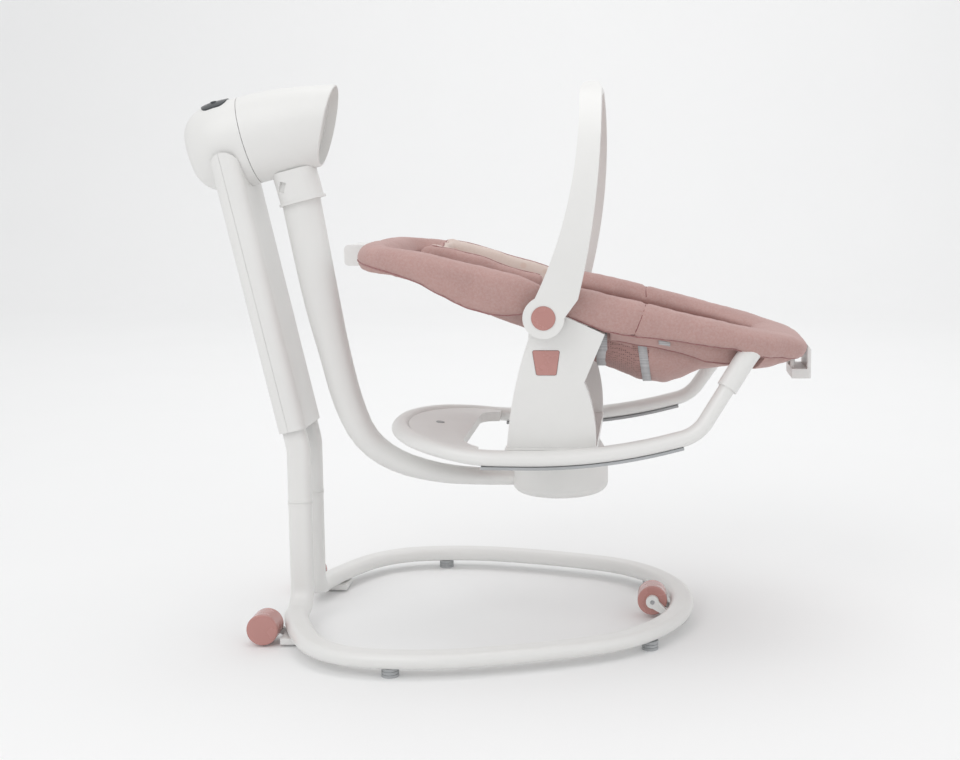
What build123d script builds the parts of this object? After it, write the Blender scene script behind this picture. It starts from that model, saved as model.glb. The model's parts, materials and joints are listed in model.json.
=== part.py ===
from build123d import *
import os
from math import cos, radians, sin, sqrt

# Baby swing, millimetres. X forward from the mast to the front of the base, Z up from the
# floor, Y across, and the origin on the floor under the middle of the whole object.
# Left and right are those of the child: left is +Y.

# ---- stand ----
TUBE_W, TUBE_T, TUBE_WALL = 40, 24, 1.5  # flat-oval steel tube, wide x thin, wall
LEG_X, LEG_Y = -340, 40  # the two legs stand close together
HOOP_Z = 26.5  # centre of the floor hoop's tube
LEG_BEND = 38  # radius from the leg into the hoop
# Radius and degrees of each arc of the hoop, from the leg round to the nose.
HOOP_ARCS = ((46, 15.3), (518, 14.7), (147, 50), (419, 21.5), (1135, 10), (223, 22.6))
COLLAR_Z, COLLAR_H, COLLAR_PROUD, COLLAR_GROOVE = 205, 8, 0.6, 1.2  # between the leg's halves
SPIGOT_H, SPIGOT_FIT = 66, 0.1
SNAP_Z, SNAP_R, SNAP_L, SNAP_PROUD = 262, 3, 10, 1.5
LEAN_Z, LEAN, LEAN_R = 300, 12.5, 90  # where the upper legs lean back, degrees, radius
MAST_TOP = 470  # length of the leaning part of the upper legs
TONGUE_SHARE = 0.2  # of that length, the part that the chassis reaches down between the legs
FOOT_R = 13.3
FEET = ((-143, 288), (254, 163))
FOOT_GROOVE = 1.2
ROLLER_R, ROLLER_L, ROLLER_CAP = 25.5, 40, 4
REAR_ROLLER = (-374, 150, 28.5)
FRONT_ROLLER = (258, 0, 33)
AXLE_R, AXLE_FIT = 4, 0.06
BRACKET_T, BRACKET_GAP, BRACKET_LOW, BRACKET_EYE = 8, 1, 4.5, 11
REAR_SADDLE = (-345, -302, 47)  # under the tube: from x, to x, width along y
FRONT_SADDLE = (288, 318, 58)

# ---- mast cover ----
COVER_BACK, COVER_FRONT = -23.5, 23.5  # from the centre of the upper legs
COVER_HALF, COVER_WALL, COVER_CORNER = 61, 2.5, 16
COVER_START, COVER_END = 34, 508  # along the leaning legs
COVER_SEAM, SEAM_GAP = -4, 0.4

# ---- drive head and swing arm ----
HEAD_X, HEAD_Z, HEAD_TILT = -417.4, 818, 14.8  # parting plane's centre, axis tilt in degrees
HEAD_WALL, HEAD_GAP = 3, 1.0
REAR_SECTIONS = ((0, 73, 50), (-32, 74.5, 51), (-64, 71, 48), (-86, 60, 41), (-99, 43, 29))
FRONT_SECTIONS = ((HEAD_GAP, 0, 73, 50), (60, -1, 71.5, 49), (115, -5, 67, 47), (175, -11, 60, 44))
RIM_TOP, RIM_BOTTOM = (166, 51), (103, -72)  # front rim, along the axis and above it
DISH_DEPTH, DISH_T = 16, 2.5
PANEL_AT, PANEL_L, PANEL_W, PANEL_RISE = -38, 44, 54, 2
KEYS_AT, KEY_Y, KEY_R, KEY_FIT, KEY_TOP, KEY_L = -38, 12, 5, 0.25, 75.6, 13
SOCKET_ABOVE, SOCKET_R, SOCKET_L = -26, 6, 14
CHASSIS_AT, CHASSIS_HIGH, CHASSIS_WIDE, CHASSIS_REACH = (-80, -9), 34, 24, 16
BOARD_ABOVE, BOARD_T = 46, 1.6
SPEAKER_R, SPEAKER_T, SPEAKER_BACK = 20, 8, 6.5
BULKHEAD_T, BOSS_R, BOSS_L = 4, 17, 26
COIL_R, COIL_BORE, COIL_T, COIL_ABOVE = 13, 5, 6, -47.5
COLLAR_DEEP, COLLAR_WIDE, COLLAR_CORNER = 73, 54, 24
WINDOW, WINDOW_IN = (-359, 739.7, 10, 17), 19  # pocket in the collar: x, z, size; floor's y
ARM_WALL = 2.5
SHAFT_R, BEARING_R, BEARING_W = 8, 15, 9
BEARING_AT = (-70, -18)
COLLAR_AT, COLLAR_TOP, COLLAR_BOTTOM = 57.4, -66, -121  # arm collar, along and below the axis
ARM_STEPS = 3  # sections from one row of the spine to the next
ARM_SPINE = (  # x, z, depth in the side view, width across
    (-339, 745.7, 66, 44),
    (-322.5, 651.6, 64, 45),
    (-303, 546, 60, 46),
    (-284.5, 462, 53, 47),
    (-262.5, 375, 50, 48),
    (-232.5, 312, 44.5, 49),
    (-182, 273.5, 39, 50),
    (-112, 253, 33, 51),
    (-40, 246.5, 28.5, 52),
    (34, 246, 27, 52),
)

# ---- seat mount ----
MOUNT_X = 100
CUP_R, CUP_Z0, CUP_Z1, CUP_CORNER, CUP_WALL = 81.5, 224, 276, 15, 3
SPINDLE_R, SPINDLE_TOP = 14, 306
TURN_R, TURN_TOP_R, TURN_Z0, TURN_Z1 = 80, 60, 276.6, 318
DOCK_X, DOCK_Y, DOCK_H = 84, 60, 9

# ---- rocker ----
RAIL_Y, RAIL_W, RAIL_H = 195, 29, 25
RAIL_PATH = (  # from the rear middle to the front of the left rail
    (-169, 0, 340),
    (-169, 60, 340),
    (-112, 165, 333),
    (-20, 195, 319),
    (176, 195, 317.5),
    (327, 195, 357),
    (385, 168, 445),
)
RAIL_RADII = (200, 160, 190, 880, 62)
RAIL_WALL, RAIL_FIT = 2.5, 0.4
PAD_X0, PAD_X1, PAD_H, PAD_W, PAD_BEND = -12, 306, 4.5, 18, 880
DECK_SLOPE, DECK_LOW, DECK_HIGH, DECK_L, DECK_HORN = 7.1, -9, 8, 119, 30
NOTCH_HALF, NOTCH_ROUND = 164, 55  # the deck's rounded front edge
DECK_WALL = 2.5
KEY_ON_DECK, DECK_KEY_R, DECK_KEY_L, DECK_KEY_UP = 63, 7, 7, 1
DOOR_L, DOOR_W, DOOR_T = 70, 80, 2.5
TRAY_X0, TRAY_X1, TRAY_Z0, TRAY_Z1 = 24, 168, 318.4, 331
PANEL_LEAN, PANEL_FOOT_Y, PANEL_Z0 = 8, 152, 331.05
PANEL_T, PANEL_LID, PANEL_WALL = 18, 4, 2.5
HUB_X, HUB_Z, HUB_R = 90, 543, 32
PANEL_OUTLINE = (  # x, z up the rear edge, over the top and down the front edge
    (26, 326),
    (41, 430),
    (64, 510),
    (66, 552.5),
    (97, 552.5),
    (126, 543.5),
    (182.6, 517),
    (150, 440),
    (163, 395),
    (166.6, 326),
)
# Post from each panel up to the rim tube: centre, length, width and height.
POST_X, POST_Y, POST_Z, POST_L, POST_W, POST_H = 146, 189, 545, 22, 8, 34
CAP_R, CAP_T, CAP_PROUD, CAP_FIT = 18.5, 4, 1, 0.2
PIN_R, PIN_IN, PIN_OUT = 4, 168, 221
ELBOW_R, ELBOW_GRIP = 17, 22
ELBOW_PATH = ((401, 160.6, 469.3), (425, 143.5, 499.4))
ELBOW_BEND = 24
BUTTON_TOP, BUTTON_BOTTOM, BUTTON_H, BUTTON_Z = 43, 31, 40, 452
BUTTON_X, BUTTON_GAP, BUTTON_BACK, BUTTON_FRONT = 91, 0.5, 9, 19.2

# ---- seat frame ----
SEAT_TILT = 13  # slope of the seat's rim towards the feet, degrees
RIM_Z = 577  # rim tube's centre above the hub
FRAME_R, FRAME_WALL = 9.5, 1.5
ROLL_R = 20  # padded roll round the rim tube
SOFT_GAP = 0.4
FOOT_PLAN = ((18, 182), (150, 184.5), (325, 156), (412, 92))  # along the slope, across
FOOT_RADII = (220, 150, 60)
BACK_PATH = ((58, 182, 584.3), (-100, 185, 621), (-198, 150, 629))
BACK_RADII = (220, 70)
SLING_PLAN = ((91, 150), (330, 150), (462, 84))  # half outline of the seat's bowl
BACK_PLAN = ((89, 150), (-110, 150), (-176, 110))
SLING_T, FLANGE_T, FLANGE_DROP = 8, 6, 8
EAR_Y, EAR_T, EAR_R = 170, 9, 12.5
SLING_LOW = ((90, 489), (169, 448), (232, 421), (276, 413), (335, 437), (420, 446), (478, 450))
BACK_LOW = ((-178, 607), (-118, 577), (-50, 546), (14, 519), (89, 490))
HANDLE = (-253, -186, 611, 645)  # recline handle: x from, x to, z from, z to
HANDLE_HALF, HANDLE_TRAVEL, HANDLE_ROUND = 48, 5, 7
TONGUE_OUTLINE = ((489, 424), (521, 424), (521, 472), (514.5, 480), (514.5, 440), (489, 440))
TONGUE_HALF, TONGUE_POST_Y, TONGUE_POST_R = 45, 28, 4
INSERT_OUTLINE = (
    (-118, 588),
    (-118, 630),
    (-93, 650),
    (-8, 632),
    (82, 604),
    (82, 503.5),
    (14, 529.5),
    (-50, 557),
)
INSERT_HALF, INSERT_ROUND = 118, 9
INSERT_WALL, INSERT_FLOOR = 26, 22
STRAP_X, STRAP_T, STRAP_W, STRAP_TOP = 236, 3, 30, 486
BUCKLE_T, BUCKLE_W, BUCKLE_H = 14, 42, 46

# ---- toy bar ----
BAR_T, BAR_OUT, BAR_FOOT_Z, BAR_TOP, BAR_WALL = 20.5, 227.5, 640, 915, 3
BAR_REAR = ((76, 571), (112, 660), (139.5, 897.5))  # rear edge of the band in the side view
BAR_FRONT = ((174.5, 897.5), (166, 695), (142.5, 571))


def rising_plane(along, above):
    """Square to the head's upward direction; its x points forward along the swing axis."""
    return Plane(
        origin=head_point(along, above), x_dir=head_direction(1, 0), z_dir=head_direction(0, 1)
    )


def mast_plane(distance):
    """Square to the leaning legs, at a distance up them from their bend; x is forward."""
    lean = radians(LEAN)
    origin = (LEG_X - distance * sin(lean), 0, LEAN_Z + distance * cos(lean))
    return Plane(origin=origin, x_dir=(cos(lean), 0, sin(lean)), z_dir=(-sin(lean), 0, cos(lean)))


def head_point(along, above):
    """A point of the middle plane from the swing axis: along it, and square to it upwards."""
    tilt = radians(HEAD_TILT)
    x = HEAD_X + along * cos(tilt) - above * sin(tilt)
    return (x, 0, HEAD_Z + along * sin(tilt) + above * cos(tilt))


def head_plane(along, above=0):
    """Square to the swing axis; its x points up the head."""
    tilt = radians(HEAD_TILT)
    return Plane(
        origin=head_point(along, above), x_dir=(-sin(tilt), 0, cos(tilt)), z_dir=(cos(tilt), 0, sin(tilt))
    )


def head_direction(along, above):
    """The direction of a vector given along the swing axis and square to it upwards."""
    tilt = radians(HEAD_TILT)
    return (along * cos(tilt) - above * sin(tilt), 0, along * sin(tilt) + above * cos(tilt))


def seat_point(along, across):
    """A point of the sloping rim plane, along the slope from the hub towards the feet."""
    tilt = radians(SEAT_TILT)
    return (HUB_X + along * cos(tilt), across, RIM_Z - along * sin(tilt))


def tube_section(extra=0, mode=Mode.ADD):
    """The flat-oval section of the stand's tubes, wide side along x."""
    SlotOverall(TUBE_W + 2 * extra, TUBE_T + 2 * extra, mode=mode)


def side_name(side):
    return "left" if side > 0 else "right"


def finish(builder, label):
    """Names a finished piece and writes its STEP file."""
    builder.part.label = label
    export_step(builder.part, f"parts/{label}.step")
    print(label, round(builder.part.volume))


def finish_largest(builder, label):
    """Writes the largest solid of a piece, leaving off scraps that its cuts cast loose."""
    with BuildPart() as kept:
        add(builder.part.solids().sort_by(SortBy.VOLUME)[-1])
    finish(kept, label)


# ======================= stand =======================
def base_hoop():
    """Floor hoop bent from one tube, with both lower legs and the spigots on top of them."""
    corner = HOOP_Z + LEG_BEND
    slant = LEG_BEND * (1 - sqrt(0.5))
    with BuildLine() as path:
        leg = Line((LEG_X, LEG_Y, COLLAR_Z), (LEG_X, LEG_Y, corner))
        edge = ThreePointArc(
            leg @ 1, (LEG_X, LEG_Y + slant, HOOP_Z + slant), (LEG_X, LEG_Y + LEG_BEND, HOOP_Z)
        )
        heading = 90
        for radius, turn in HOOP_ARCS:
            edge = JernArc(start=edge @ 1, tangent=edge % 1, radius=radius, arc_size=-turn)
            heading -= turn
        nose_radius = (edge @ 1).Y / cos(radians(heading))
        JernArc(start=edge @ 1, tangent=edge % 1, radius=nose_radius, arc_size=-(heading + 90))
        mirror(about=Plane.XZ)
    bore, fit = -TUBE_WALL, -TUBE_WALL - SPIGOT_FIT
    with BuildPart() as hoop:
        with BuildSketch(Plane(leg @ 0, x_dir=(1, 0, 0), z_dir=(0, 0, -1))):
            tube_section()
            tube_section(bore, Mode.SUBTRACT)
        sweep(path=path.wires()[0])
        for side in (1, -1):
            with BuildSketch(Plane.XY.offset(COLLAR_Z - SPIGOT_H / 3)):
                with Locations((LEG_X, side * LEG_Y)):
                    tube_section(bore)
                    tube_section(fit + bore, Mode.SUBTRACT)
            extrude(amount=SPIGOT_H / 3)
            with BuildSketch(Plane.XY.offset(COLLAR_Z)):
                with Locations((LEG_X, side * LEG_Y)):
                    tube_section(fit)
                    tube_section(fit + bore, Mode.SUBTRACT)
            extrude(amount=SPIGOT_H)
            with Locations(Location((LEG_X, side * LEG_Y / 2, SNAP_Z), (90, 0, 0))):
                Cylinder(SNAP_R + SPIGOT_FIT, LEG_Y, mode=Mode.SUBTRACT)
    finish(hoop, "base_hoop")


def leg_collars():
    """Plastic rings, each with a groove, between the lower and the upper legs."""
    with BuildPart() as collars:
        for side in (1, -1):
            with BuildSketch(Plane.XY.offset(COLLAR_Z)):
                with Locations((LEG_X, side * LEG_Y)):
                    tube_section(COLLAR_PROUD)
                    tube_section(-TUBE_WALL, Mode.SUBTRACT)
            extrude(amount=COLLAR_H)
            with BuildSketch(Plane.XY.offset(COLLAR_Z + (COLLAR_H - COLLAR_GROOVE) / 2)):
                with Locations((LEG_X, side * LEG_Y)):
                    tube_section(2 * COLLAR_PROUD)
                    tube_section(COLLAR_PROUD - 1, Mode.SUBTRACT)
            extrude(amount=COLLAR_GROOVE, mode=Mode.SUBTRACT)
    finish(collars, "leg_collars")


def upper_leg_path(side):
    """Centre line of an upper leg, from its collar to the drive head."""
    top = mast_plane(MAST_TOP).origin
    with BuildLine() as path:
        FilletPolyline(
            (LEG_X, side * LEG_Y, COLLAR_Z + COLLAR_H),
            (LEG_X, side * LEG_Y, LEAN_Z),
            (top.X, side * LEG_Y, top.Z),
            radius=LEAN_R,
        )
    return path


def upper_legs():
    """Upper legs, each with the hole that its snap button clicks into."""
    for side in (1, -1):
        path = upper_leg_path(side)
        start = Plane((LEG_X, side * LEG_Y, COLLAR_Z + COLLAR_H), x_dir=(1, 0, 0), z_dir=(0, 0, 1))
        with BuildPart() as leg:
            with BuildSketch(start):
                tube_section()
                tube_section(-TUBE_WALL, Mode.SUBTRACT)
            sweep(path=path.wires()[0])
            with Locations(Location((LEG_X, side * LEG_Y / 2, SNAP_Z), (90, 0, 0))):
                Cylinder(SNAP_R + SPIGOT_FIT, LEG_Y, mode=Mode.SUBTRACT)
        finish(leg, f"upper_leg_{side_name(side)}")


def snap_buttons():
    """Sprung buttons on the inner side of each leg that lock the two halves together."""
    face = LEG_Y - TUBE_T / 2
    for side in (1, -1):
        with BuildPart() as button:
            with Locations(Location((LEG_X, side * (face - SNAP_PROUD + SNAP_L / 2), SNAP_Z), (90, 0, 0))):
                Cylinder(SNAP_R, SNAP_L)
            fillet(button.edges().filter_by(GeomType.CIRCLE).sort_by(Axis.Y)[0 if side > 0 else -1], 1)
        finish(button, f"snap_button_{side_name(side)}")


def mast_side_plane():
    """Middle plane of the mast: x forward from the legs' centre, y up the lean."""
    lean = radians(LEAN)
    return Plane(origin=mast_plane(0).origin, x_dir=(cos(lean), 0, sin(lean)), z_dir=(0, -1, 0))


def mast_covers(head):
    """Front and rear plastic shells round the upper legs, round-topped and fitted to the head."""
    depth = COVER_FRONT - COVER_BACK
    middle = (COVER_FRONT + COVER_BACK) / 2
    round_at = COVER_END - depth / 2
    for label, low, high in (
        ("mast_cover_rear", COVER_BACK, COVER_SEAM - SEAM_GAP / 2),
        ("mast_cover_front", COVER_SEAM + SEAM_GAP / 2, COVER_FRONT),
    ):
        with BuildPart() as cover:
            with BuildSketch(mast_plane(COVER_START)):
                with Locations((middle, 0)):
                    RectangleRounded(depth, 2 * COVER_HALF, COVER_CORNER)
                    RectangleRounded(
                        depth - 2 * COVER_WALL,
                        2 * (COVER_HALF - COVER_WALL),
                        COVER_CORNER - COVER_WALL,
                        mode=Mode.SUBTRACT,
                    )
            extrude(amount=COVER_END - COVER_START)
            with BuildSketch(mast_side_plane()):
                with Locations((middle, (COVER_START + round_at) / 2)):
                    Rectangle(depth, round_at - COVER_START)
                with Locations((middle, round_at)):
                    Circle(depth / 2)
                with Locations(((low + high) / 2, (COVER_START + COVER_END) / 2)):
                    Rectangle(high - low, COVER_END - COVER_START, mode=Mode.INTERSECT)
            extrude(amount=COVER_HALF, both=True, mode=Mode.INTERSECT)
            add(head, mode=Mode.SUBTRACT)
        finish(cover, label)


# ======================= drive head =======================
def loft_on_axis(sections, inset=0):
    """A body lofted through ellipses square to the swing axis: along, above, height, width."""
    with BuildPart() as body:
        for along, above, high, wide in sections:
            with BuildSketch(head_plane(along, above)):
                Ellipse(high - inset, wide - inset)
        loft()
    return body.part


def rear_sections(inset=0):
    """Sections of the rear half of the head, ending inside it by the inset."""
    return tuple((max(a, REAR_SECTIONS[-1][0] + inset), 0, h, w) for a, h, w in REAR_SECTIONS)


def leg_ends(extra):
    """Both upper legs' ends and the tongue between them, for the slots in the head."""
    with BuildPart() as ends:
        for side in (1, -1):
            with BuildSketch(mast_plane(MAST_TOP / 2)):
                with Locations((0, side * LEG_Y)):
                    tube_section(extra)
            extrude(amount=MAST_TOP / 2 + extra)
        with BuildSketch(mast_plane(MAST_TOP * (1 - TONGUE_SHARE))):
            Rectangle(TUBE_W / 2 + 2 * extra, 2 * LEG_Y)
        extrude(amount=MAST_TOP * TONGUE_SHARE + extra)
    return ends.part


def head_rear_shell():
    """Rear half of the drive head: a cup, open towards the swing."""
    outer = loft_on_axis(rear_sections())
    inner = loft_on_axis(rear_sections(HEAD_WALL), HEAD_WALL)
    slots = leg_ends(SOFT_GAP)
    with BuildPart() as shell:
        add(outer)
        add(inner, mode=Mode.SUBTRACT)
        add(slots, mode=Mode.SUBTRACT)
        with BuildSketch(rising_plane(KEYS_AT, 0)):
            with Locations((0, KEY_Y), (0, -KEY_Y)):
                Circle(KEY_R + KEY_FIT)
        extrude(amount=100, mode=Mode.SUBTRACT)
        with BuildSketch(head_plane(REAR_SECTIONS[-1][0] - 1, SOCKET_ABOVE)):
            Circle(SOCKET_R + 0.05)
        extrude(amount=20, mode=Mode.SUBTRACT)
    finish(shell, "head_rear_shell")


def control_panel():
    """Thin smoked panel lying on the top of the head, with holes for its two keys."""
    rise = loft_on_axis(rear_sections(), -PANEL_RISE)
    with BuildPart() as panel:
        with BuildSketch(rising_plane(PANEL_AT, 0)):
            RectangleRounded(PANEL_L, PANEL_W, 14)
            with Locations((0, KEY_Y), (0, -KEY_Y)):
                Circle(KEY_R + KEY_FIT, mode=Mode.SUBTRACT)
        extrude(amount=100)
        add(rise, mode=Mode.INTERSECT)
        add(loft_on_axis(rear_sections()), mode=Mode.SUBTRACT)
    finish(panel, "control_panel")


def panel_keys():
    """The power key and the speed key, standing through the control panel."""
    for label, y in (("power_key", KEY_Y), ("speed_key", -KEY_Y)):
        with BuildPart() as key:
            with BuildSketch(rising_plane(KEYS_AT, KEY_TOP - KEY_L)):
                with Locations((0, y)):
                    Circle(KEY_R)
            extrude(amount=KEY_L)
            fillet(key.faces().sort_by(Axis.Z)[-1].edges(), 0.8)
        finish(key, label)


def head_works():
    """What the head holds: chassis, bearings, drive coil, control board, speaker, socket."""
    rear, front = CHASSIS_AT
    with BuildPart() as chassis:
        with BuildSketch(head_plane(rear)):
            Rectangle(2 * CHASSIS_HIGH, 2 * CHASSIS_WIDE)
        extrude(amount=front - rear)
        with BuildSketch(mast_plane(MAST_TOP * (1 - TONGUE_SHARE) + 2)):
            Rectangle(TUBE_W / 2, 2 * LEG_Y - TUBE_T - 0.4)
        extrude(amount=MAST_TOP * TONGUE_SHARE + CHASSIS_REACH)
        with BuildSketch(head_plane(rear)):
            Circle(SHAFT_R + 2)
        extrude(amount=front - rear, mode=Mode.SUBTRACT)
        for along in BEARING_AT:
            with BuildSketch(head_plane(along - BEARING_W / 2)):
                Circle(BEARING_R + 0.02)
            extrude(amount=BEARING_W, mode=Mode.SUBTRACT)
    finish(chassis, "shaft_chassis")
    with BuildPart() as bearings:
        for along in BEARING_AT:
            with BuildSketch(head_plane(along - BEARING_W / 2 + 0.1)):
                Circle(BEARING_R)
                Circle(SHAFT_R + AXLE_FIT, mode=Mode.SUBTRACT)
            extrude(amount=BEARING_W - 0.2)
    finish(bearings, "shaft_bearings")
    with BuildPart() as coil:
        with BuildSketch(head_plane(front - COIL_T, COIL_ABOVE)):
            Circle(COIL_R)
            Circle(COIL_BORE, mode=Mode.SUBTRACT)
        extrude(amount=2 * COIL_T)
    finish(coil, "drive_coil")
    with BuildPart() as board:
        with BuildSketch(rising_plane((rear + front) / 2, BOARD_ABOVE)):
            Rectangle(front - rear - 12, 2 * CHASSIS_WIDE)
        extrude(amount=BOARD_T)
    finish(board, "control_board")
    with BuildPart() as speaker:
        with BuildSketch(head_plane(rear - SPEAKER_T - SPEAKER_BACK)):
            Circle(SPEAKER_R)
        extrude(amount=SPEAKER_T)
        with BuildSketch(head_plane(rear - SPEAKER_BACK)):
            Circle(SPEAKER_R / 2)
        extrude(amount=4)
    finish(speaker, "speaker")
    with BuildPart() as socket:
        with BuildSketch(head_plane(REAR_SECTIONS[-1][0] - 1, SOCKET_ABOVE)):
            Circle(SOCKET_R)
        extrude(amount=SOCKET_L)
        with BuildSketch(head_plane(REAR_SECTIONS[-1][0] - 1, SOCKET_ABOVE)):
            Circle(SOCKET_R - 2.5)
            Circle(1, mode=Mode.SUBTRACT)
        extrude(amount=SOCKET_L - 3, mode=Mode.SUBTRACT)
    finish(socket, "power_socket")


# ======================= swing =======================
def rim_plane(depth):
    """Plane of the front shell's slanting mouth, or one that lies deeper in the shell."""
    rise = (RIM_TOP[0] - RIM_BOTTOM[0], RIM_TOP[1] - RIM_BOTTOM[1])
    length = sqrt(rise[0] ** 2 + rise[1] ** 2)
    outward = (rise[1] / length, -rise[0] / length)
    origin = head_point(RIM_TOP[0] - depth * outward[0], RIM_TOP[1] - depth * outward[1])
    return Plane(origin=origin, x_dir=head_direction(*rise), z_dir=head_direction(*outward))


def head_front_shell():
    """Front half of the head: a cup that swings with the arm, its mouth cut on the slant."""
    first = FRONT_SECTIONS[0]
    inner_first = (first[0] + BULKHEAD_T, *first[1:])
    outer = loft_on_axis(FRONT_SECTIONS)
    inner = loft_on_axis((inner_first, *FRONT_SECTIONS[1:]), HEAD_WALL)
    with BuildPart() as shell:
        add(outer)
        split(bisect_by=rim_plane(0), keep=Keep.BOTTOM)
        fillet(shell.faces().sort_by(Axis((HEAD_X, 0, HEAD_Z), head_direction(1, 0)))[-1].edges(), 2)
        add(inner, mode=Mode.SUBTRACT)
        with BuildSketch(head_plane(HEAD_GAP)):
            Circle(BOSS_R)
        extrude(amount=BULKHEAD_T + BOSS_L)
        with BuildSketch(head_plane(HEAD_GAP)):
            Circle(SHAFT_R + 0.02)
        extrude(amount=BULKHEAD_T + BOSS_L, mode=Mode.SUBTRACT)
    finish(shell, "head_front_shell")


def head_dish():
    """Dished cover that closes the front shell behind its rim."""
    inner = loft_on_axis(FRONT_SECTIONS, HEAD_WALL + 0.15)
    with BuildPart() as dish:
        add(inner)
        split(bisect_by=rim_plane(DISH_DEPTH), keep=Keep.BOTTOM)
        split(bisect_by=rim_plane(DISH_DEPTH + DISH_T), keep=Keep.TOP)
    finish(dish, "head_dish")


def swing_shaft():
    """Steel shaft that the whole swing hangs from."""
    with BuildPart() as shaft:
        with BuildSketch(head_plane(CHASSIS_AT[0] - 2)):
            Circle(SHAFT_R)
        extrude(amount=HEAD_GAP + BULKHEAD_T + BOSS_L - CHASSIS_AT[0] + 2)
    finish(shaft, "swing_shaft")


def drive_magnet():
    """Magnet on the front shell's back wall, driven by the coil across the gap."""
    with BuildPart() as magnet:
        with BuildSketch(head_plane(HEAD_GAP + BULKHEAD_T, COIL_ABOVE)):
            Rectangle(COIL_R, 2 * COIL_R)
        extrude(amount=COIL_T)
    finish(magnet, "drive_magnet")


def eased(share, before, start, end, after):
    """A value between start and end, on the smooth curve that also passes its neighbours."""
    bend = 2 * before - 5 * start + 4 * end - after
    turn = 3 * (start - end) + after - before
    return start + share * (end - before + share * (bend + share * turn)) / 2


def arm_sections():
    """The spine's rows with more rows eased in between them, so that the arm curves evenly."""
    last = len(ARM_SPINE) - 1
    rows = [ARM_SPINE[0]]
    for row in range(last):
        near = [ARM_SPINE[min(max(row + shift, 0), last)] for shift in (-1, 0, 1, 2)]
        for step in range(1, ARM_STEPS + 1):
            rows.append(tuple(eased(step / ARM_STEPS, *column) for column in zip(*near)))
    return rows


def arm_loft(extra=0):
    """The swing arm's form: flat ovals along its spine, each square to it."""
    rows = arm_sections()
    with BuildPart() as arm:
        for place, (x, z, deep, wide) in enumerate(rows):
            x0, z0 = rows[max(place - 1, 0)][:2]
            x1, z1 = rows[min(place + 1, len(rows) - 1)][:2]
            onward = Vector(x1 - x0, 0, z1 - z0).normalized()
            with BuildSketch(Plane(origin=(x, 0, z), x_dir=(0, 1, 0), z_dir=onward)):
                Ellipse(wide / 2 + extra, deep / 2 + extra)
        loft(ruled=True)
    return arm.part


def arm_collar(arm):
    """Moulded collar under the front shell that grips the top of the arm."""
    shell = loft_on_axis(FRONT_SECTIONS, -0.2)
    with BuildPart() as collar:
        with BuildSketch(rising_plane(COLLAR_AT, COLLAR_BOTTOM)):
            RectangleRounded(COLLAR_DEEP, COLLAR_WIDE, COLLAR_CORNER)
        extrude(amount=COLLAR_TOP - COLLAR_BOTTOM)
        with BuildSketch(rising_plane(COLLAR_AT, COLLAR_BOTTOM)):
            RectangleRounded(COLLAR_DEEP + 5, COLLAR_WIDE + 5, COLLAR_CORNER + 2.5)
        extrude(amount=4)
        add(shell, mode=Mode.SUBTRACT)
        add(arm, mode=Mode.SUBTRACT)
        for side in (1, -1):
            with BuildSketch(Plane.XZ.offset(-side * WINDOW_IN)):
                with Locations(WINDOW[:2]):
                    Rectangle(*WINDOW[2:], rotation=-HEAD_TILT)
            extrude(amount=-side * COLLAR_WIDE, mode=Mode.SUBTRACT)
    finish(collar, "arm_collar")


def swing_arm():
    """Tapering arm that curves from the head down and under the seat."""
    inner = arm_loft(-ARM_WALL)
    with BuildPart() as arm:
        add(arm_loft())
        add(inner, mode=Mode.SUBTRACT)
    finish(arm, "swing_arm")


# ======================= seat mount =======================
def mount_cup(arm):
    """Round cup on the end of the arm, with the spindle that the seat turns on."""
    with BuildPart() as cup:
        with BuildSketch(Plane.XZ):
            with BuildLine():
                Polyline(
                    (0, CUP_Z0),
                    (CUP_R - CUP_CORNER, CUP_Z0),
                )
                ThreePointArc(
                    (CUP_R - CUP_CORNER, CUP_Z0),
                    (CUP_R - CUP_CORNER * (1 - sqrt(0.5)), CUP_Z0 + CUP_CORNER * (1 - sqrt(0.5))),
                    (CUP_R, CUP_Z0 + CUP_CORNER),
                )
                Polyline(
                    (CUP_R, CUP_Z0 + CUP_CORNER),
                    (CUP_R, CUP_Z1),
                    (CUP_R - CUP_WALL, CUP_Z1),
                    (CUP_R - CUP_WALL, CUP_Z0 + CUP_CORNER),
                    (CUP_R - CUP_CORNER, CUP_Z0 + CUP_WALL),
                    (SPINDLE_R, CUP_Z0 + CUP_WALL),
                    (SPINDLE_R, SPINDLE_TOP),
                    (0, SPINDLE_TOP),
                    (0, CUP_Z0),
                )
            make_face()
        revolve(axis=Axis.Z)
    moved = Location((MOUNT_X, 0, 0)) * cup.part
    with BuildPart() as placed:
        add(moved)
        add(arm, mode=Mode.SUBTRACT)
    finish(placed, "mount_cup")


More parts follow.
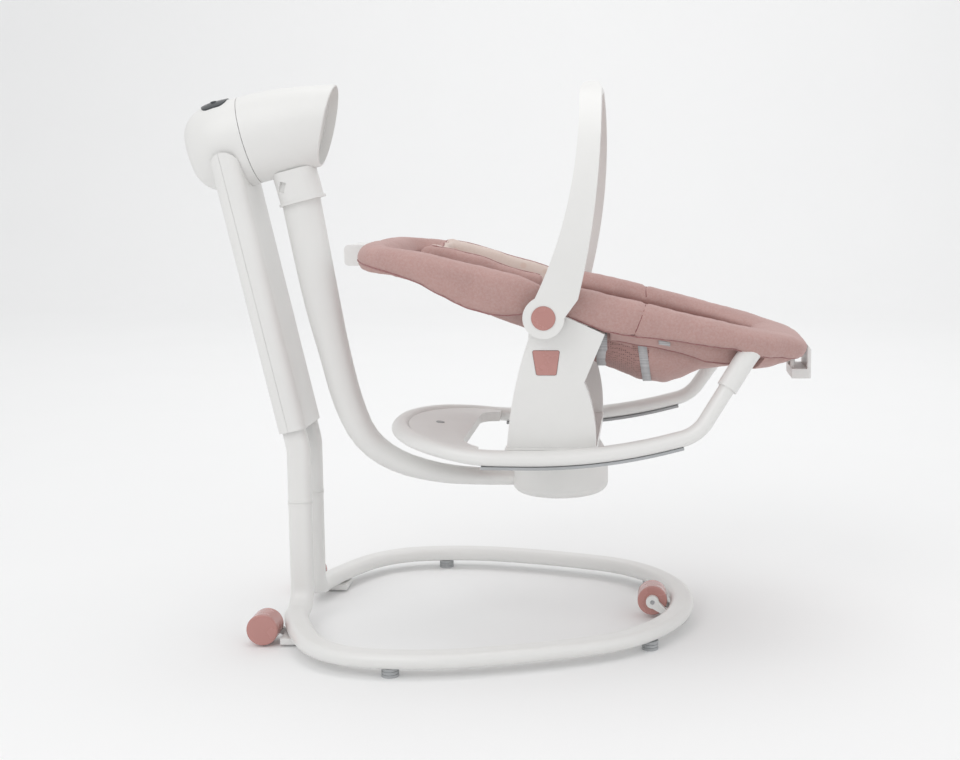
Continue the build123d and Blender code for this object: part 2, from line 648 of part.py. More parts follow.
def turntable():
    """Turning top of the mount, with the oval block that the seat's base drops over."""
    with BuildPart() as table:
        with BuildSketch(Plane.XZ):
            with BuildLine():
                Polyline(
                    (SPINDLE_R + AXLE_FIT, TURN_Z0),
                    (TURN_R, TURN_Z0),
                    (TURN_R, TURN_Z0 + 10),
                )
                ThreePointArc(
                    (TURN_R, TURN_Z0 + 10),
                    (TURN_R - 6, TURN_Z0 + 24),
                    (TURN_TOP_R, TURN_Z1),
                )
                Polyline(
                    (TURN_TOP_R, TURN_Z1),
                    (SPINDLE_R + AXLE_FIT, TURN_Z1),
                    (SPINDLE_R + AXLE_FIT, TURN_Z0),
                )
            make_face()
        revolve(axis=Axis.Z)
    moved = Location((MOUNT_X, 0, 0)) * table.part
    with BuildPart() as placed:
        add(moved)
        with BuildSketch(Plane.XY.offset(SPINDLE_TOP + 1)):
            with Locations((MOUNT_X, 0)):
                Circle(SPINDLE_R + 6)
        extrude(amount=TURN_Z1 - SPINDLE_TOP - 1)
        with BuildSketch(Plane.XY.offset(TURN_Z1)):
            with Locations((MOUNT_X, 0)):
                RectangleRounded(DOCK_X, DOCK_Y, 20)
        extrude(amount=DOCK_H)
    finish(placed, "turntable")


# ======================= floor parts =======================
def floor_feet():
    """Four ribbed rubber feet under the hoop."""
    top = HOOP_Z - TUBE_T / 2
    with BuildPart() as feet:
        for x, y in FEET:
            with Locations((x, y, top / 2), (x, -y, top / 2)):
                Cylinder(FOOT_R, top)
            for step in (1, 2):
                with BuildSketch(Plane.XY.offset(step * top / 3 - FOOT_GROOVE / 2)):
                    with Locations((x, y), (x, -y)):
                        Circle(FOOT_R + 1)
                        Circle(FOOT_R - FOOT_GROOVE, mode=Mode.SUBTRACT)
                extrude(amount=FOOT_GROOVE, mode=Mode.SUBTRACT)
    finish(feet, "floor_feet")


def roller(place, side):
    """A roller lying along y, bored for its axle from the inner end, or through."""
    x, y, z = place
    across = Location((x, side * y, z), (90, 0, 0))
    with BuildPart() as wheel:
        with Locations(across):
            Cylinder(ROLLER_R, ROLLER_L)
        fillet(wheel.edges().filter_by(GeomType.CIRCLE), 2.5)
        bore = ROLLER_L if y == 0 else ROLLER_L - ROLLER_CAP
        middle = side * (y - (ROLLER_L - bore) / 2)
        with Locations(Location((x, middle, z), (90, 0, 0))):
            Cylinder(AXLE_R + AXLE_FIT, bore, mode=Mode.SUBTRACT)
    return wheel


def rollers():
    """Two rollers behind the hoop and one inside its front, to tip and wheel the swing on."""
    for side in (1, -1):
        finish(roller(REAR_ROLLER, side), f"rear_roller_{side_name(side)}")
    finish(roller(FRONT_ROLLER, 1), "front_roller")


def bracket_cheek(x, z, saddle):
    """Side form of a bracket: an eye round the axle joined to the saddle under the tube."""
    top = HOOP_Z - TUBE_T / 2
    near, far, _ = saddle
    with BuildSketch() as cheek:
        with BuildLine():
            Polyline(
                (x, z + BRACKET_EYE),
                (x + BRACKET_EYE, z),
                (near, top),
                (far, top),
                (far, BRACKET_LOW),
                (near, BRACKET_LOW),
                (x, z - BRACKET_EYE),
                close=True,
            )
        make_face()
        with Locations((x, z)):
            Circle(BRACKET_EYE)
            Circle(AXLE_R, mode=Mode.SUBTRACT)
    return cheek.sketch


def roller_brackets():
    """Moulded brackets that hold the roller axles to the underside of the hoop."""
    top = HOOP_Z - TUBE_T / 2
    x, y, z = REAR_ROLLER
    for side in (1, -1):
        inner = y - ROLLER_L / 2 - BRACKET_GAP
        with BuildPart() as bracket:
            with BuildSketch(Plane.XZ.offset(-side * inner)):
                add(bracket_cheek(x, z, REAR_SADDLE))
            extrude(amount=side * BRACKET_T)
            low, high, width = REAR_SADDLE
            with BuildSketch(Plane.XY.offset(BRACKET_LOW)):
                with Locations(((low + high) / 2, side * (inner - BRACKET_T + width / 2))):
                    Rectangle(high - low, width)
            extrude(amount=top - BRACKET_LOW)
        finish(bracket, f"roller_bracket_{side_name(side)}")
    x, _, z = FRONT_ROLLER
    low, high, width = FRONT_SADDLE
    with BuildPart() as bracket:
        for side in (1, -1):
            with BuildSketch(Plane.XZ.offset(-side * (ROLLER_L / 2 + BRACKET_GAP))):
                add(bracket_cheek(x, z, FRONT_SADDLE))
            extrude(amount=-side * BRACKET_T)
        with BuildSketch(Plane.XY.offset(BRACKET_LOW)):
            with Locations(((low + high) / 2, 0)):
                Rectangle(high - low, width)
        extrude(amount=top - BRACKET_LOW)
    finish(bracket, "roller_bracket_front")


def roller_axles():
    """Steel pins of the three rollers, fixed in their brackets."""
    x, y, z = REAR_ROLLER
    inner = y - ROLLER_L / 2 - BRACKET_GAP - BRACKET_T
    outer = y + ROLLER_L / 2 - ROLLER_CAP - 1
    with BuildPart() as axles:
        for side in (1, -1):
            with Locations(Location((x, side * (inner + outer) / 2, z), (90, 0, 0))):
                Cylinder(AXLE_R, outer - inner)
        with Locations(Location(FRONT_ROLLER, (90, 0, 0))):
            Cylinder(AXLE_R, ROLLER_L + 2 * (BRACKET_GAP + BRACKET_T))
    finish(axles, "roller_axles")


# ======================= rocker =======================
def both_sides(points):
    """The points mirrored across y, then themselves, so that a path runs right to left."""
    mirrored = [(x, -y, z) for x, y, z in reversed(points)]
    return [*mirrored, *points]


def rail_path():
    """Centre line of the rocker: up from the rear, round its closed end and back."""
    corners = RAIL_PATH[1:]
    with BuildLine() as path:
        FilletPolyline(*both_sides(corners), radius=[*reversed(RAIL_RADII), *RAIL_RADII])
    return path.wires()[0]


def swept_tube(path, section):
    """A solid swept along a path from a section drawn by the function given."""
    onward = path.tangent_at(0)
    level = onward.cross(Vector(0, 0, 1)).normalized()
    with BuildPart() as tube:
        with BuildSketch(Plane(origin=path.position_at(0), x_dir=level, z_dir=onward)):
            section()
        sweep(path=path)
    return tube.part


def rail_form(extra=0):
    """The rocker's tube as a filled form, thicker all round by the extra given."""
    return swept_tube(rail_path(), lambda: Ellipse(RAIL_W / 2 + extra, RAIL_H / 2 + extra))


def rocker_frame():
    """One tube: two curved rails joined behind, rising in front to carry the seat's rim."""
    inner = rail_form(-RAIL_WALL)
    with BuildPart() as frame:
        add(rail_form())
        add(inner, mode=Mode.SUBTRACT)
    finish(frame, "rocker_frame")


def rocker_pads(rails):
    """Grey non-slip strips under the rails, which take the floor when the seat is lifted off."""
    low = RAIL_H / 2 + PAD_H / 2
    start, bend, end = RAIL_PATH[-4], RAIL_PATH[-3], RAIL_PATH[-2]
    share = (PAD_X1 - bend[0]) / (end[0] - bend[0])
    with BuildPart() as pads:
        for side in (1, -1):
            with BuildSketch(Plane.XZ.offset(-side * RAIL_Y - PAD_W / 2)):
                with BuildLine():
                    FilletPolyline(
                        (PAD_X0, start[2] - low),
                        (bend[0], bend[2] - low),
                        (PAD_X1, bend[2] + share * (end[2] - bend[2]) - low),
                        radius=PAD_BEND,
                    )
                trace(line_width=PAD_H)
            extrude(amount=PAD_W)
        add(rails, mode=Mode.SUBTRACT)
    finish(pads, "rocker_pads")


def dock_tray(rails):
    """Cross tray between the rails; it drops over the turntable's block and lifts off it."""
    with BuildPart() as tray:
        with BuildSketch(Plane.XY.offset(TRAY_Z0)):
            with Locations(((TRAY_X0 + TRAY_X1) / 2, 0)):
                RectangleRounded(TRAY_X1 - TRAY_X0, 2 * RAIL_Y, 12)
        extrude(amount=TRAY_Z1 - TRAY_Z0)
        with BuildSketch(Plane.XY.offset(TRAY_Z0)):
            with Locations((MOUNT_X, 0)):
                RectangleRounded(DOCK_X + 0.5, DOCK_Y + 0.5, 20.25)
        extrude(amount=DOCK_H, mode=Mode.SUBTRACT)
        add(rails, mode=Mode.SUBTRACT)
    finish_largest(tray, "dock_tray")


def deck_plane(height):
    """Plane of the sloping deck in the closed end of the rocker."""
    slope = radians(DECK_SLOPE)
    x, _, z = RAIL_PATH[0]
    origin = (x + height * sin(slope), 0, z + height * cos(slope))
    return Plane(origin=origin, x_dir=(cos(slope), 0, -sin(slope)), z_dir=(sin(slope), 0, cos(slope)))


def vibration_deck(rails):
    """Hollow deck with the vibration unit, its key and, below, the battery door."""
    with BuildPart() as deck:
        with BuildSketch(deck_plane(DECK_LOW)):
            with Locations(((DECK_L + DECK_HORN) / 2, 0)):
                Rectangle(DECK_L + DECK_HORN, 2 * RAIL_Y)
            with Locations((DECK_L + 2 * NOTCH_ROUND, 0)):
                RectangleRounded(4 * NOTCH_ROUND, 2 * NOTCH_HALF, NOTCH_ROUND, mode=Mode.SUBTRACT)
        extrude(amount=DECK_HIGH - DECK_LOW)
        add(rails, mode=Mode.SUBTRACT)
        with BuildSketch(deck_plane(DECK_LOW)):
            with Locations((KEY_ON_DECK, 0)):
                Rectangle(DOOR_L, DOOR_W)
        extrude(amount=DECK_HIGH - DECK_LOW - DECK_WALL, mode=Mode.SUBTRACT)
        with BuildSketch(deck_plane(DECK_LOW)):
            with Locations((KEY_ON_DECK, 0)):
                Circle(DECK_KEY_R + KEY_FIT)
        extrude(amount=DECK_HIGH - DECK_LOW, mode=Mode.SUBTRACT)
    finish_largest(deck, "vibration_deck")
    with BuildPart() as door:
        with BuildSketch(deck_plane(DECK_LOW)):
            with Locations((KEY_ON_DECK, 0)):
                Rectangle(DOOR_L - 0.6, DOOR_W - 0.6)
        extrude(amount=DOOR_T)
    finish(door, "battery_door")
    with BuildPart() as key:
        with BuildSketch(deck_plane(DECK_HIGH + DECK_KEY_UP - DECK_KEY_L)):
            with Locations((KEY_ON_DECK, 0)):
                Circle(DECK_KEY_R)
        extrude(amount=DECK_KEY_L)
    finish(key, "vibration_key")


def panel_plane(height, side=-1):
    """Plane of the right side panel, leaning outwards, at a height through its thickness."""
    lean = radians(PANEL_LEAN)
    out = (0, side * cos(lean), -sin(lean))
    origin = (0, side * PANEL_FOOT_Y + height * out[1], PANEL_Z0 + height * out[2])
    return Plane(origin=origin, x_dir=(1, 0, 0), z_dir=out)


def up_panel(z):
    """Height up the leaning panel of a point at height z."""
    return (z - PANEL_Z0) / cos(radians(PANEL_LEAN))


def panel_outline(inset=0):
    """Outline of a side panel: a waisted plate, wide at its foot and at its top."""
    points = [(x, up_panel(z)) for x, z in PANEL_OUTLINE]
    with BuildSketch() as outline:
        with BuildLine():
            ThreePointArc(*points[0:3])
            Polyline(*points[2:8])
            ThreePointArc(*points[7:10])
            Line(points[9], points[0])
        make_face()
        if inset:
            offset(amount=-inset, mode=Mode.REPLACE)
    return outline.sketch


def button_outline(gap=0):
    """Trapezoid of the release button, wider at the top."""
    low, high = up_panel(BUTTON_Z) - gap, up_panel(BUTTON_Z) + BUTTON_H + gap
    with BuildSketch() as outline:
        with BuildLine():
            Polyline(
                (BUTTON_X - BUTTON_BOTTOM / 2 - gap, low),
                (BUTTON_X + BUTTON_BOTTOM / 2 + gap, low),
                (BUTTON_X + BUTTON_TOP / 2 + gap, high),
                (BUTTON_X - BUTTON_TOP / 2 - gap, high),
                close=True,
            )
        make_face()
        fillet(outline.vertices(), 3 + gap)
    return outline.sketch


def write_pair(builder, name):
    """Writes a piece of the right side, and its mirror image as the left one."""
    finish(builder, f"{name}_right")
    with BuildPart() as other:
        add(builder.part)
        mirror(about=Plane.XZ, mode=Mode.REPLACE)
    finish(other, f"{name}_left")


def side_panels(rim_tube):
    """Outer shell, inner lid and release button of each side panel."""
    pin = Location((HUB_X, -PIN_OUT / 2, HUB_Z), (90, 0, 0))
    with BuildPart() as shell:
        with BuildSketch(panel_plane(PANEL_LID)):
            add(panel_outline())
        extrude(amount=PANEL_T - PANEL_LID)
        fillet(shell.faces().sort_by(Axis.Y)[0].edges(), 1.5)
        with BuildSketch(panel_plane(PANEL_LID)):
            add(panel_outline(PANEL_WALL))
        extrude(amount=PANEL_T - PANEL_LID - PANEL_WALL, mode=Mode.SUBTRACT)
        with BuildSketch(panel_plane(PANEL_LID)):
            with Locations((HUB_X, up_panel(HUB_Z))):
                Rectangle(2 * PIN_R + 12, 2 * PIN_R + 10)
        extrude(amount=PANEL_T - PANEL_LID)
        with Locations((POST_X, -POST_Y, POST_Z)):
            Box(POST_L, POST_W, POST_H)
        with BuildSketch(panel_plane(PANEL_LID)):
            add(button_outline(BUTTON_GAP))
        extrude(amount=PANEL_T, mode=Mode.SUBTRACT)
        add(rim_tube, mode=Mode.SUBTRACT)
        with Locations(pin):
            Cylinder(PIN_R + 0.02, PIN_OUT, mode=Mode.SUBTRACT)
        split(bisect_by=Plane.XY.offset(PANEL_Z0), keep=Keep.TOP)
    write_pair(shell, "side_panel")
    with BuildPart() as lid:
        with BuildSketch(panel_plane(0)):
            add(panel_outline())
        extrude(amount=PANEL_LID - 0.05)
        with Locations(pin):
            Cylinder(PIN_R + 0.02, PIN_OUT, mode=Mode.SUBTRACT)
        split(bisect_by=Plane.XY.offset(PANEL_Z0), keep=Keep.TOP)
    write_pair(lid, "panel_lid")
    with BuildPart() as button:
        with BuildSketch(panel_plane(BUTTON_BACK)):
            add(button_outline())
        extrude(amount=BUTTON_FRONT - BUTTON_BACK)
        fillet(button.faces().sort_by(Axis.Y)[0].edges(), 1.2)
    write_pair(button, "release_button")


def hub_pins():
    """Steel pins through both hubs; the backrest and the toy bar turn on them."""
    with BuildPart() as pins:
        for side in (1, -1):
            with Locations(Location((HUB_X, side * (PIN_IN + PIN_OUT) / 2, HUB_Z), (90, 0, 0))):
                Cylinder(PIN_R, PIN_OUT - PIN_IN)
    finish(pins, "hub_pins")


# ======================= seat frame and soft seat =======================
def foot_rim_path():
    """Centre line of the fixed half of the rim, from hub to hub round the child's feet."""
    points = [seat_point(*place) for place in reversed(FOOT_PLAN)]
    with BuildLine() as path:
        FilletPolyline(*both_sides(points), radius=[*FOOT_RADII, *reversed(FOOT_RADII)])
    return path.wires()[0]


def back_rim_path():
    """Centre line of the hinged half of the rim, from hub to hub round the child's head."""
    with BuildLine() as path:
        FilletPolyline(*both_sides(list(reversed(BACK_PATH))), radius=[*BACK_RADII, *reversed(BACK_RADII)])
    return path.wires()[0]


def round_form(path, radius):
    """A round bar of the radius given along a path."""
    return swept_tube(path, lambda: Circle(radius))


def elbow_form(side, extra=0):
    """A front elbow, from a grip on the rail's end up to the rim tube, as a filled form."""
    end, before = Vector(*RAIL_PATH[-1]), Vector(*RAIL_PATH[-2])
    start = end - (end - before).normalized() * ELBOW_GRIP
    points = [(p[0], side * p[1], p[2]) for p in (tuple(start), *ELBOW_PATH)]
    with BuildLine() as path:
        FilletPolyline(*points, radius=ELBOW_BEND)
    return round_form(path.wires()[0], ELBOW_R + extra)


def foot_frame(tube):
    """Fixed half of the seat's rim tube."""
    bore = round_form(foot_rim_path(), FRAME_R - FRAME_WALL)
    with BuildPart() as frame:
        add(tube)
        add(bore, mode=Mode.SUBTRACT)
    finish(frame, "foot_frame")


def elbows(rails, tube):
    """Plastic sleeves that join the rocker's raised ends to the rim tube."""
    for side in (1, -1):
        form = elbow_form(side)
        with BuildPart() as elbow:
            add(form)
            add(rails, mode=Mode.SUBTRACT)
            add(tube, mode=Mode.SUBTRACT)
        finish_largest(elbow, f"front_elbow_{side_name(side)}")


def foot_tongue(tube):
    """White catch plate that wraps under the foot end of the rim."""
    top = seat_point(FOOT_PLAN[-1][0], 0)[2]
    with BuildPart() as tongue:
        with BuildSketch(Plane.XZ.offset(-TONGUE_HALF)):
            with BuildLine():
                Polyline(*TONGUE_OUTLINE, close=True)
            make_face()
        extrude(amount=2 * TONGUE_HALF)
        fillet(tongue.edges().filter_by(Axis.Z).group_by(Axis.X)[-1], 4)
        middle = (TONGUE_OUTLINE[-1][1] + top) / 2
        x = seat_point(FOOT_PLAN[-1][0], 0)[0]
        with Locations((x, TONGUE_POST_Y, middle), (x, -TONGUE_POST_Y, middle)):
            Cylinder(TONGUE_POST_R, top - TONGUE_OUTLINE[-1][1])
        add(tube, mode=Mode.SUBTRACT)
    finish_largest(tongue, "foot_tongue")


def block(plan, profile):
    """A form with the half plan given, mirrored across y, and the side profile given."""
    with BuildPart() as form:
        with BuildSketch():
            with BuildLine():
                Polyline(*plan, *[(x, -y) for x, y in reversed(plan)], close=True)
            make_face()
        extrude(amount=2 * BAR_TOP)
        with BuildSketch(Plane.XZ.offset(-2 * RAIL_Y)):
            with BuildLine():
                Polyline(*profile, close=True)
            make_face()
        extrude(amount=4 * RAIL_Y, mode=Mode.INTERSECT)
    return form.part


def bowl(plan, low, rim):
    """Outer form and hollow of a sling hanging under the rim line given as two points."""
    (x0, z0), (x1, z1) = rim
    outer = block(plan, [*low, (x1, z1 - FLANGE_DROP), (x0, z0 - FLANGE_DROP)])
    hub = 1 if plan[0][0] > 0 and plan[0][0] < plan[-1][0] else -1
    inset = [(plan[0][0] - hub * SLING_T, plan[0][1] - SLING_T), *plan[1:-1], plan[-1]]
    inner_plan = [inset[0], *[(x - hub * SLING_T, y - SLING_T) for x, y in inset[1:]]]
    floor = [(x, z + SLING_T) for x, z in low]
    floor[0 if hub > 0 else -1] = (plan[0][0] - hub * SLING_T, floor[0 if hub > 0 else -1][1])
    hollow = block(inner_plan, [*floor, (x1, z1 + 3 * ROLL_R), (x0 - SLING_T, z0 + 3 * ROLL_R)])
    return outer, hollow


def flange(plan, line):
    """Sheet that joins the padded roll to the bowl: the rim's plan, just under its line."""
    low = [(x, z - FLANGE_DROP - FLANGE_T) for x, z in line]
    high = [(x, z - FLANGE_DROP) for x, z in reversed(line)]
    return block(plan, [*low, *high])


def seat_sling(tube, blocked):
    """Padded cover of the fixed half: a roll round the rim and the bowl hanging under it."""
    path = foot_rim_path()
    plan = [(seat_point(along, 0)[0], across) for along, across in FOOT_PLAN]
    line = [(seat_point(along, 0)[0], seat_point(along, 0)[2]) for along, _ in FOOT_PLAN]
    outer, hollow = bowl(SLING_PLAN, SLING_LOW, (line[0], line[-1]))
    sheet = flange(plan, line)
    roll = round_form(path, ROLL_R)
    with BuildPart() as sling:
        add(sheet)
        add(outer)
        add(hollow, mode=Mode.SUBTRACT)
        add(roll)
        add(tube, mode=Mode.SUBTRACT)
        add(blocked, mode=Mode.SUBTRACT)
        for side in (1, -1):
            with Locations((POST_X, side * POST_Y, POST_Z)):
                Box(POST_L + 3 * SOFT_GAP, POST_W + 3 * SOFT_GAP, POST_H, mode=Mode.SUBTRACT)
            x, _, z = seat_point(FOOT_PLAN[-1][0], 0)
            with Locations((x, side * TONGUE_POST_Y, z - ROLL_R)):
                Cylinder(TONGUE_POST_R + SOFT_GAP, 2 * ROLL_R, mode=Mode.SUBTRACT)
    finish_largest(sling, "seat_sling")


def back_sling(tube):
    """Padded cover of the backrest, made like the seat's and hinging with it."""
    plan = [(x, y) for x, y, _ in BACK_PATH]
    line = [(x, z) for x, _, z in BACK_PATH]
    outer, hollow = bowl(BACK_PLAN, BACK_LOW, (line[-1], line[0]))
    sheet = flange(plan, line)
    roll = round_form(back_rim_path(), ROLL_R)
    plates = ears(SOFT_GAP)
    x0, x1, z0, z1 = HANDLE
    with BuildPart() as sling:
        add(sheet)
        add(outer)
        add(hollow, mode=Mode.SUBTRACT)
        add(roll)
        add(tube, mode=Mode.SUBTRACT)
        add(plates, mode=Mode.SUBTRACT)
        with Locations(((x0 + x1 + HANDLE_TRAVEL) / 2, 0, (z0 + z1) / 2)):
            Box(x1 - x0 + HANDLE_TRAVEL + 2, 2 * HANDLE_HALF + 2, 4 * ROLL_R, mode=Mode.SUBTRACT)
    finish_largest(sling, "back_sling")


def ears(extra=0):
    """The plates that carry the backrest's tube on the hub pins."""
    x, _, z = BACK_PATH[0]
    with BuildPart() as plates:
        for side in (1, -1):
            with BuildSketch(Plane.XZ.offset(-side * (EAR_Y - extra))):
                with BuildLine():
                    Line((HUB_X, HUB_Z), (x, z))
                trace(line_width=2 * (EAR_R + extra))
                with Locations((HUB_X, HUB_Z), (x, z)):
                    Circle(EAR_R + extra)
            extrude(amount=-side * (EAR_T + 2 * extra))
    return plates.part


def back_frame():
    """Hinged half of the rim tube, with an ear at each hub."""
    form = round_form(back_rim_path(), FRAME_R)
    bore = round_form(back_rim_path(), FRAME_R - FRAME_WALL)
    plates = ears()
    with BuildPart() as frame:
        add(form)
        add(bore, mode=Mode.SUBTRACT)
        add(plates)
        with Locations(Location((HUB_X, 0, HUB_Z), (90, 0, 0))):
            Cylinder(PIN_R + AXLE_FIT, 2 * RAIL_Y, mode=Mode.SUBTRACT)
    finish(frame, "back_frame")


def recline_handle():
    """Handle at the head end; squeezed towards the seat, it frees the backrest."""
    x0, x1, z0, z1 = HANDLE
    tube_x, _, tube_z = BACK_PATH[-1]
    with BuildPart() as handle:
        with Locations(((x0 + x1) / 2, 0, (z0 + z1) / 2)):
            Box(x1 - x0, 2 * HANDLE_HALF, z1 - z0)
        fillet(handle.edges().filter_by(Axis.Y), HANDLE_ROUND)
        with BuildSketch(Plane.XZ.offset(-HANDLE_HALF)):
            with Locations((tube_x - HANDLE_TRAVEL / 2, tube_z)):
                SlotCenterToCenter(HANDLE_TRAVEL, 2 * (FRAME_R + AXLE_FIT))
        extrude(amount=2 * HANDLE_HALF, mode=Mode.SUBTRACT)
    finish(handle, "recline_handle")


def infant_insert():
    """Thick soft liner that lies in the backrest, with raised sides and head end."""
    head, foot = INSERT_OUTLINE[0][0] + INSERT_WALL, INSERT_OUTLINE[4][0] + INSERT_WALL
    floor = [(x, z + INSERT_FLOOR) for x, z in (INSERT_OUTLINE[0], *reversed(INSERT_OUTLINE[5:]))]
    inside = INSERT_HALF - INSERT_WALL
    hollow = block(
        ((foot, inside), (head, inside)),
        [(head, floor[1][1]), *floor[1:], (foot, floor[-1][1]), (foot, BAR_TOP), (head, BAR_TOP)],
    )
    with BuildPart() as liner:
        with BuildSketch(Plane.XZ.offset(-INSERT_HALF)):
            with BuildLine():
                Polyline(*INSERT_OUTLINE, close=True)
            make_face()
        extrude(amount=2 * INSERT_HALF)
        fillet(liner.faces().filter_by(Axis.Y).edges(), INSERT_ROUND)
        add(hollow, mode=Mode.SUBTRACT)
    finish(liner, "infant_insert")


def harness():
    """Crotch strap standing up from the seat, and the buckle at its top."""
    floor = SLING_LOW[2][1] + SLING_T + 1
    with BuildPart() as strap:
        with Locations((STRAP_X, 0, (floor + STRAP_TOP) / 2)):
            Box(STRAP_T, STRAP_W, STRAP_TOP - floor)
    finish(strap, "crotch_strap")
    with BuildPart() as buckle:
        with Locations((STRAP_X, 0, STRAP_TOP + BUCKLE_H / 2)):
            Box(BUCKLE_T, BUCKLE_W, BUCKLE_H)
        fillet(buckle.edges().filter_by(Axis.X), 9)
        fillet(buckle.faces().filter_by(Axis.X).edges(), 3)
    finish(buckle, "harness_buckle")


# ======================= toy bar =======================
def bar_form(inset):
    """The toy bar's outer form, or the hollow in it: its side view within a round arch."""
    (rear, _), (front, top) = BAR_REAR[2], BAR_FRONT[0]
    arches = ((BAR_OUT - inset, Mode.ADD), (BAR_OUT - BAR_T + inset, Mode.SUBTRACT))
    with BuildPart() as bar:
        with BuildSketch(Plane.XZ.offset(-BAR_OUT)):
            with BuildLine():
                ThreePointArc(*BAR_REAR)
                ThreePointArc((rear, top), ((rear + front) / 2, BAR_TOP), (front, top))
                ThreePointArc(*BAR_FRONT)
                Polyline(BAR_FRONT[2], (HUB_X + HUB_R, HUB_Z), (HUB_X, HUB_Z - HUB_R))
                Polyline((HUB_X, HUB_Z - HUB_R), (HUB_X - HUB_R, HUB_Z), BAR_REAR[0])
            make_face()
            with Locations((HUB_X, HUB_Z)):
                Circle(HUB_R)
            offset(amount=-inset)
        extrude(amount=2 * BAR_OUT)
        with BuildSketch(Plane.YZ):
            for reach, mode in arches:
                with Locations((0, BAR_FOOT_Z - 3 * HUB_R)):
                    Rectangle(2 * reach, 6 * HUB_R, mode=mode)
                with Locations((0, BAR_FOOT_Z)):
                    Ellipse(reach, BAR_TOP - BAR_FOOT_Z + reach - BAR_OUT, mode=mode)
        extrude(amount=2 * BAR_OUT, both=True, mode=Mode.INTERSECT)
    return bar.part


def toy_bar():
    """Arched bar over the seat: two broad arms on the hubs that narrow to its round top."""
    outer, inner = bar_form(0), bar_form(BAR_WALL)
    with BuildPart() as bar:
        add(outer)
        add(inner, mode=Mode.SUBTRACT)
        for side in (1, -1):
            hub = Location((HUB_X, side * (BAR_OUT - BAR_T / 2), HUB_Z), (90, 0, 0))
            with Locations(hub):
                Cylinder(CAP_R + BAR_WALL, BAR_T - 0.1)
            with BuildSketch(Plane.XZ.offset(-side * BAR_OUT)):
                with Locations((HUB_X, HUB_Z)):
                    Circle(CAP_R + CAP_FIT)
            extrude(amount=side * (CAP_T - CAP_PROUD), mode=Mode.SUBTRACT)
            with Locations(hub):
                Cylinder(PIN_R + AXLE_FIT, 2 * BAR_T, mode=Mode.SUBTRACT)
    finish(bar, "toy_bar")
    with BuildPart() as caps:
        for side in (1, -1):
            with BuildSketch(Plane.XZ.offset(-side * (BAR_OUT - CAP_T + CAP_PROUD))):
                with Locations((HUB_X, HUB_Z)):
                    Circle(CAP_R)
            extrude(amount=-side * CAP_T)
    finish(caps, "hub_caps")


os.makedirs("parts", exist_ok=True)
base_hoop()
leg_collars()
upper_legs()
snap_buttons()
mast_covers(loft_on_axis(rear_sections(), -SOFT_GAP))
head_rear_shell()
control_panel()
panel_keys()
head_works()
head_front_shell()
head_dish()
swing_shaft()
drive_magnet()
arm_form = arm_loft()
arm_collar(arm_form)
swing_arm()
mount_cup(arm_form)
turntable()
floor_feet()
rollers()
roller_brackets()
roller_axles()
rocker_frame()
rails_clear = rail_form(RAIL_FIT)
rocker_pads(rails_clear)
dock_tray(rails_clear)
vibration_deck(rails_clear)
hub_pins()
rim_tube = round_form(foot_rim_path(), FRAME_R)
rim_clear = round_form(foot_rim_path(), FRAME_R + 0.1)
side_panels(rim_clear)
foot_frame(rim_tube)
elbows(rail_form(0.1), rim_clear)
foot_tongue(rim_clear)
back_frame()
recline_handle()
elbow_clear = [elbow_form(side, SOFT_GAP) for side in (1, -1)]
seat_sling(round_form(foot_rim_path(), FRAME_R + SOFT_GAP), elbow_clear)
back_sling(round_form(back_rim_path(), FRAME_R + SOFT_GAP))
infant_insert()
harness()
toy_bar()
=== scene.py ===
import json
import math

import bmesh
import bpy
import numpy as np
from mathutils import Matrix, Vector, noise


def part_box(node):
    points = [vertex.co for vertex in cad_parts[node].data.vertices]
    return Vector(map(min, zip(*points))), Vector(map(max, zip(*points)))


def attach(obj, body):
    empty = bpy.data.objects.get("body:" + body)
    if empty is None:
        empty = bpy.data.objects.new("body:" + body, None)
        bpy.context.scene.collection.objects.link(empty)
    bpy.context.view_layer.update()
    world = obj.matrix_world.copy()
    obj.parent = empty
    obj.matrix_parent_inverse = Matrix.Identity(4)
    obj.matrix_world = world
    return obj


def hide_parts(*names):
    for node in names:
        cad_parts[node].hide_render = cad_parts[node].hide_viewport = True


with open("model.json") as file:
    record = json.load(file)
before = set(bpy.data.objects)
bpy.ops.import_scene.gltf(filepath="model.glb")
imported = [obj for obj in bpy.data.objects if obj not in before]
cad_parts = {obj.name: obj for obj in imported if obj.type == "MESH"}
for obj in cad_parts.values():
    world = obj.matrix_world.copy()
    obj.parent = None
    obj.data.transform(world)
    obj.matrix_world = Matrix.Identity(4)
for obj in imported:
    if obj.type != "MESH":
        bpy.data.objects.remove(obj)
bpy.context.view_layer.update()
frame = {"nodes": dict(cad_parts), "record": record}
NODES = frame["nodes"]


